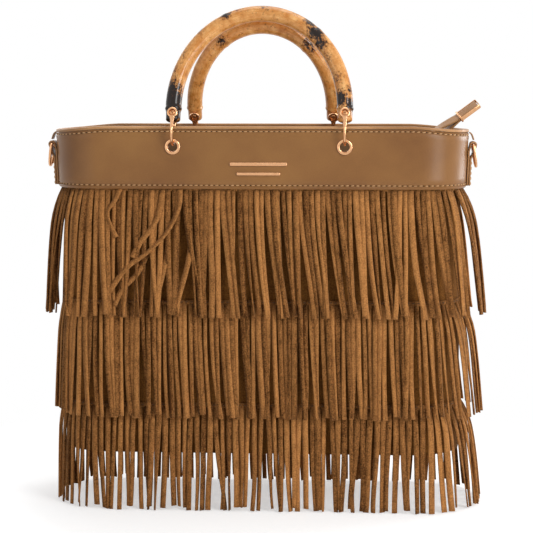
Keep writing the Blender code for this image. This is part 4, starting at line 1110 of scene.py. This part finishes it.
FOLD = RING_WIRE + GAP + TAB_LEATHER / 2
TAB_INNER = GAP + TAB_LEATHER / 2
TAB_OUTER = TAB_INNER + TAB_LEATHER + GAP
TAB_PATH = [
    (TAB_OUTER, TAB_BOTTOM_Z),
    (TAB_OUTER, TAB_BOTTOM_Z + 0.008),
    (TAB_OUTER, TAB_BOTTOM_Z + 0.016),
    (TAB_OUTER, TAB_JOIN_Z),
    (TAB_OUTER + TAB_LEATHER * 0.4, TAB_JOIN_Z + TAB_LEATHER),
    (TAB_OUTER + TAB_LEATHER, TAB_JOIN_Z + TAB_LEATHER * 2),
    *arc((RING_OUT, RING_Z), FOLD, -20, 190, 18),
    (TAB_INNER, RING_Z - FOLD * 2),
    (TAB_INNER, TAB_BOTTOM_Z + 0.010),
    (TAB_INNER, TAB_BOTTOM_Z),
]
TIE_FOOT = RING_Z + FOLD + TAB_LEATHER / 2 + TIE_LEATHER
TIE_TOP = BAND_TOP_Z - RIM_DROP
TIE_PATH = [
    (GAP + TIE_LEATHER / 2, TIE_TOP, 0),
    ((RING_OUT + GAP) * TIE_BOW, (TIE_TOP + TIE_FOOT) / 2 + TIE_LEATHER, 0),
    (RING_OUT + GAP, TIE_FOOT, 0),
]
for hand, sign in HANDS.items():
    bm = strap(side_points(TAB_PATH, sign), TAB_HALF)
    tab = piece(f"folded_tab_{hand}", bm, STRAP_LEATHER, "bag", [f"ring_tab_{hand}"], sharp=60)
    thicken(tab, TAB_LEATHER, 0, 0.0004)
    curve = [(spot.x, spot.y) for spot in smooth_curve(TIE_PATH, 6)]
    tie = piece(f"thin_tie_{hand}", strap(side_points(curve, sign), TIE_HALF), STRAP_LEATHER, "bag",
                [f"side_tie_{hand}"], sharp=60)
    thicken(tie, TIE_LEATHER, 0, 0.0003)
    spots = []
    for line in (-TAB_HALF + 0.0016, TAB_HALF - 0.0016):
        for index in range(int((TAB_JOIN_Z - TAB_BOTTOM_Z) / STITCH_PITCH)):
            out = TAB_OUTER + TAB_LEATHER / 2 + STITCH_THICK * 0.3
            x, z = side_points([(out, TAB_BOTTOM_Z + 0.002 + index * STITCH_PITCH)], sign)[0]
            spots.append((Vector((x, line, z)), Vector((0, 0, 1)), Vector((sign, 0, 0))))
    stitch_line(f"tab_stitches_{hand}", spots, hole=False)
print("tab height:", round(RING_Z + FOLD - TAB_BOTTOM_Z, 4))

# %% [markdown]
# ## Zip
# A metal zip is two rows of small cast teeth clamped on the edges of two tapes. The rows are
# drawn a little apart, because the slider's core runs between them.

# %% Zip teeth and slider
TOOTH_PITCH, TOOTH_LONG, TOOTH_REACH, TOOTH_SLOT, TOOTH_ROUND = 0.0027, 0.0016, 0.0036, 0.0009, 0.00035


def block(bm, low, high, rounded, segments=2):
    """A box between two corners with all its edges rounded."""
    low, high = Vector(low), Vector(high)
    size = Matrix.Diagonal((*(high - low), 1))
    made = bmesh.ops.create_cube(bm, size=1, matrix=Matrix.Translation((low + high) / 2) @ size)["verts"]
    edges = {edge for vert in made for edge in vert.link_edges}
    bmesh.ops.bevel(
        bm, geom=list(edges), offset=rounded, segments=segments, profile=0.5, affect="EDGES", material=-1
    )


for word, side in SIDES.items():
    low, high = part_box(f"zip_teeth_{word}")
    bm = bmesh.new()
    count = int((high.x - low.x) / TOOTH_PITCH)
    for index in range(count):
        x = low.x + (index + 0.5 + 0.25 * side) * TOOTH_PITCH
        near, far = sorted((side * TOOTH_SLOT, side * (TOOTH_SLOT + TOOTH_REACH)))
        block(bm, (x - TOOTH_LONG / 2, near, low.z), (x + TOOTH_LONG / 2, far, high.z), TOOTH_ROUND, 1)
    piece(f"cast_zip_teeth_{word}", bm, DULL_GOLD, "bag", [f"zip_teeth_{word}"])
print("zip teeth in a row:", count)

# %% [markdown]
# ## Zip pull
# A leather strap is folded through the slider's bar, and its two legs run into a metal frame
# with a leather inlay. The strap turns a little about its own length on the way.

# %% Pull strap and frame
PULL_BAR, PULL_LEATHER, PULL_HALF, PULL_LENGTH = 0.0012, 0.0015, 0.0050, 0.0715
PULL_ANGLE, PULL_TWIST, PULL_TWIST_FROM, PULL_TWIST_LENGTH = 36.5, 28.0, 0.0100, 0.0355
PULL_BELLY, FRAME_LENGTH, FRAME_WALL = ((0.018, 0.0034), (0.032, 0.0031)), 0.0200, 0.0009
PULL_PIVOT = Vector(joints["zip_pull_swing"]["pos_m"])
PULL_PLACE = Matrix.Translation(PULL_PIVOT) @ Matrix.Rotation(-math.radians(PULL_ANGLE), 4, "Y")


def pull_twist(x):
    share = min(max((x - PULL_TWIST_FROM) / PULL_TWIST_LENGTH, 0), 1)
    return Matrix.Rotation(math.radians(PULL_TWIST) * share * share * (3 - 2 * share), 3, "X")


def pull_path():
    fold = PULL_BAR + GAP + PULL_LEATHER / 2
    meet = PULL_LEATHER / 2 + GAP / 2
    inside = PULL_LENGTH - FRAME_LENGTH
    knots = [(fold, fold, 0), *[(x, z, 0) for x, z in PULL_BELLY], (inside - 2 * PULL_LEATHER, meet, 0)]
    leg = [(spot.x, spot.y) for spot in smooth_curve(knots, 8)[1:]]
    tail = [(inside + (PULL_LENGTH - FRAME_WALL - 2 * GAP - inside) * share, meet) for share in (0, 0.5, 1)]
    leg += tail
    return [*reversed(leg), *arc((0, 0), fold, 75, 285, 14), *[(x, -z) for x, z in leg]]


bm = strap(pull_path(), PULL_HALF)
for vert in bm.verts:
    vert.co = pull_twist(vert.co.x) @ vert.co
pull_strap = piece("folded_pull_strap", bm, STRAP_LEATHER, "zip_pull", ["zip_pull_strap"], PULL_PLACE, sharp=60)
thicken(pull_strap, PULL_LEATHER, 0, 0.0003)

frame_half, rail_rise = PULL_HALF + GAP + FRAME_WALL / 2, PULL_LEATHER + GAP
collar_rise = PULL_LEATHER + 1.5 * GAP + FRAME_WALL * 0.8
rail_in, rail_out = PULL_LENGTH - FRAME_LENGTH, PULL_LENGTH - FRAME_WALL / 2
u_shape = [(rail_in, -frame_half), (rail_out - 0.0012, -frame_half), (rail_out - 0.0003, -frame_half + 0.0003)]
u_shape += [(rail_out, -frame_half + 0.0012), (rail_out, 0)]
u_shape += [(x, -y) for x, y in reversed(u_shape[:-1])]
path = [Vector((x, y, 0)) for x, y in u_shape]
rows = []
for index, spot in enumerate(path):
    onward = (path[min(index + 1, len(path) - 1)] - path[max(index - 1, 0)]).normalized()
    outwards = onward.cross(Vector((0, 0, 1)))
    ring = [(1, 0.7), (0.5, 1), (-0.5, 1), (-1, 0.7), (-1, -0.7), (-0.5, -1), (0.5, -1), (1, -0.7)]
    rows.append([spot + outwards * a * FRAME_WALL / 2 + Vector((0, 0, b * rail_rise)) for a, b in ring])
bm = drawn_through(rows, closed=True, capped=True)
across = frame_half + FRAME_WALL / 2
for low, high in ((PULL_LEATHER + GAP, collar_rise), (-collar_rise, -PULL_LEATHER - GAP)):
    block(bm, (rail_in - 0.0012, -across, low), (rail_in + 0.0006, across, high), 0.0003)
for y in (-frame_half, frame_half):
    block(bm, (rail_in - 0.0012, y - FRAME_WALL / 2, -collar_rise), (rail_in + 0.0006, y + FRAME_WALL / 2, collar_rise), 0.0002)
turned_place = PULL_PLACE @ Matrix.Rotation(math.radians(PULL_TWIST), 4, "X")
piece("pull_frame", bm, ROSE_GOLD, "zip_pull", ["zip_pull_bar"], turned_place)
print("pull length:", PULL_LENGTH)

# %% [markdown]
# ## Plain trim bars
# Two slim plated bars with rounded edges stand where such a bag has its trim.

# %% Trim bars
for word in ("upper", "lower"):
    low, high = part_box(f"trim_bar_{word}")
    bm = bmesh.new()
    block(bm, low, high, (high.y - low.y) * 0.42, 4)
    piece(f"plated_bar_{word}", bm, ROSE_GOLD, "bag", [f"trim_bar_{word}"])
print("bars:", 2)

# %% [markdown]
# ## Floor, light and camera
# The floor shows the camera a plain white but still takes the bag's shadow. Large soft lamps
# light the front, with the stronger one on the right, and the world fills in the rest.

# %% Floor
FLOOR_Z, FLOOR_HALF = -0.0005, 3.0


def seen_directly(tree):
    """1 for the camera, in gloss and through glass, and 0 for all other light."""
    paths = add(tree, "ShaderNodeLightPath").outputs
    seen = paths["Is Camera Ray"]
    for also in ("Is Glossy Ray", "Is Transmission Ray"):
        seen = add(tree, "ShaderNodeMath", {0: seen, 1: paths[also]}, operation="MAXIMUM").outputs[0]
    return seen


SHADOW_NEAR, SHADOW_FAR = 0.20, 0.42
floor_finish, tree, shader = blank("matt_white_sweep", Roughness=0.9, Specular_IOR_Level=0.1)
shader.inputs["Base Color"].default_value = linear("#F8F8F8")
where = add(tree, "ShaderNodeTexCoord").outputs["Object"]
away = add(tree, "ShaderNodeVectorMath", {0: where}, operation="LENGTH").outputs["Value"]
reach = {"Value": away, "From Min": SHADOW_NEAR, "From Max": SHADOW_FAR}
share = add(tree, "ShaderNodeMapRange", {**reach, "To Min": 0.30, "To Max": 1.0}).outputs[0]
glow_level = add(tree, "ShaderNodeMapRange", {**reach, "To Min": 1.70, "To Max": 1.0}).outputs[0]
glow = add(tree, "ShaderNodeEmission", {"Color": (1, 1, 1, 1), "Strength": glow_level})
scaled = add(tree, "ShaderNodeMath", {0: seen_directly(tree), 1: share}, operation="MULTIPLY").outputs[0]
mixed = add(tree, "ShaderNodeMixShader", {0: scaled, 1: shader.outputs[0], 2: glow.outputs[0]})
tree.links.new(mixed.outputs[0], tree.nodes["Material Output"].inputs["Surface"])
bm = bmesh.new()
bmesh.ops.create_grid(bm, x_segments=1, y_segments=1, size=FLOOR_HALF, matrix=Matrix.Translation((0, 0, FLOOR_Z)))
data = bpy.data.meshes.new("floor")
bm.to_mesh(data)
bm.free()
data.materials.append(floor_finish)
floor = bpy.data.objects.new("floor", data)
bpy.context.scene.collection.objects.link(floor)

world = bpy.data.worlds.new("studio")
bpy.context.scene.world = world
world.use_nodes = True
sky = world.node_tree.nodes["Background"]
sky.inputs["Color"].default_value = (1, 1, 1, 1)
seen = seen_directly(world.node_tree)
level = add(world.node_tree, "ShaderNodeMapRange", {"Value": seen, "To Min": 0.30, "To Max": 1.0})
world.node_tree.links.new(level.outputs[0], sky.inputs["Strength"])
print("floor at", FLOOR_Z)

# %% Lamps
LAMPS = {
    "key": ((1.1, -1.2, 1.1), 0.6, 12.5),
    "low": ((0.85, -0.75, 0.34), 0.4, 2.6),
    "side": ((1.3, 0.72, 0.45), 0.5, 8.0),
    "fill": ((-1.1, -1.2, 0.7), 1.1, 2.2),
    "top": ((0.1, 0.2, 1.7), 1.0, 9.5),
    "back": ((-0.6, 1.3, 0.9), 1.0, 4.0),
}
AIM = Vector((0, 0, 0.22))
for name, (place, size, power) in LAMPS.items():
    lamp = bpy.data.lights.new(name, "AREA")
    lamp.size, lamp.energy = size, power
    holder = bpy.data.objects.new(name, lamp)
    bpy.context.scene.collection.objects.link(holder)
    holder.location = place
    holder.rotation_euler = (AIM - Vector(place)).to_track_quat("-Z", "Y").to_euler()
bpy.context.scene.view_settings.view_transform = "Standard"
print("lamps:", len(LAMPS))

# %% [markdown]
# ## Camera
# The place, the tilt and the long lens were found by laying the CAD's own corners over the photo.

# %% Camera
CAMERA_PLACE, CAMERA_DOWN, CAMERA_LEFT, LENS = (0.094, -1.500, 0.380), 6.44, 3.42, 113.1
view_data = bpy.data.cameras.new("photo_view")
view_data.lens, view_data.sensor_width = LENS, 36
camera = bpy.data.objects.new("photo_view", view_data)
bpy.context.scene.collection.objects.link(camera)
camera.location = CAMERA_PLACE
camera.rotation_euler = (math.radians(90 - CAMERA_DOWN), 0, math.radians(CAMERA_LEFT))
bpy.context.scene.camera = camera
print("camera at", CAMERA_PLACE)
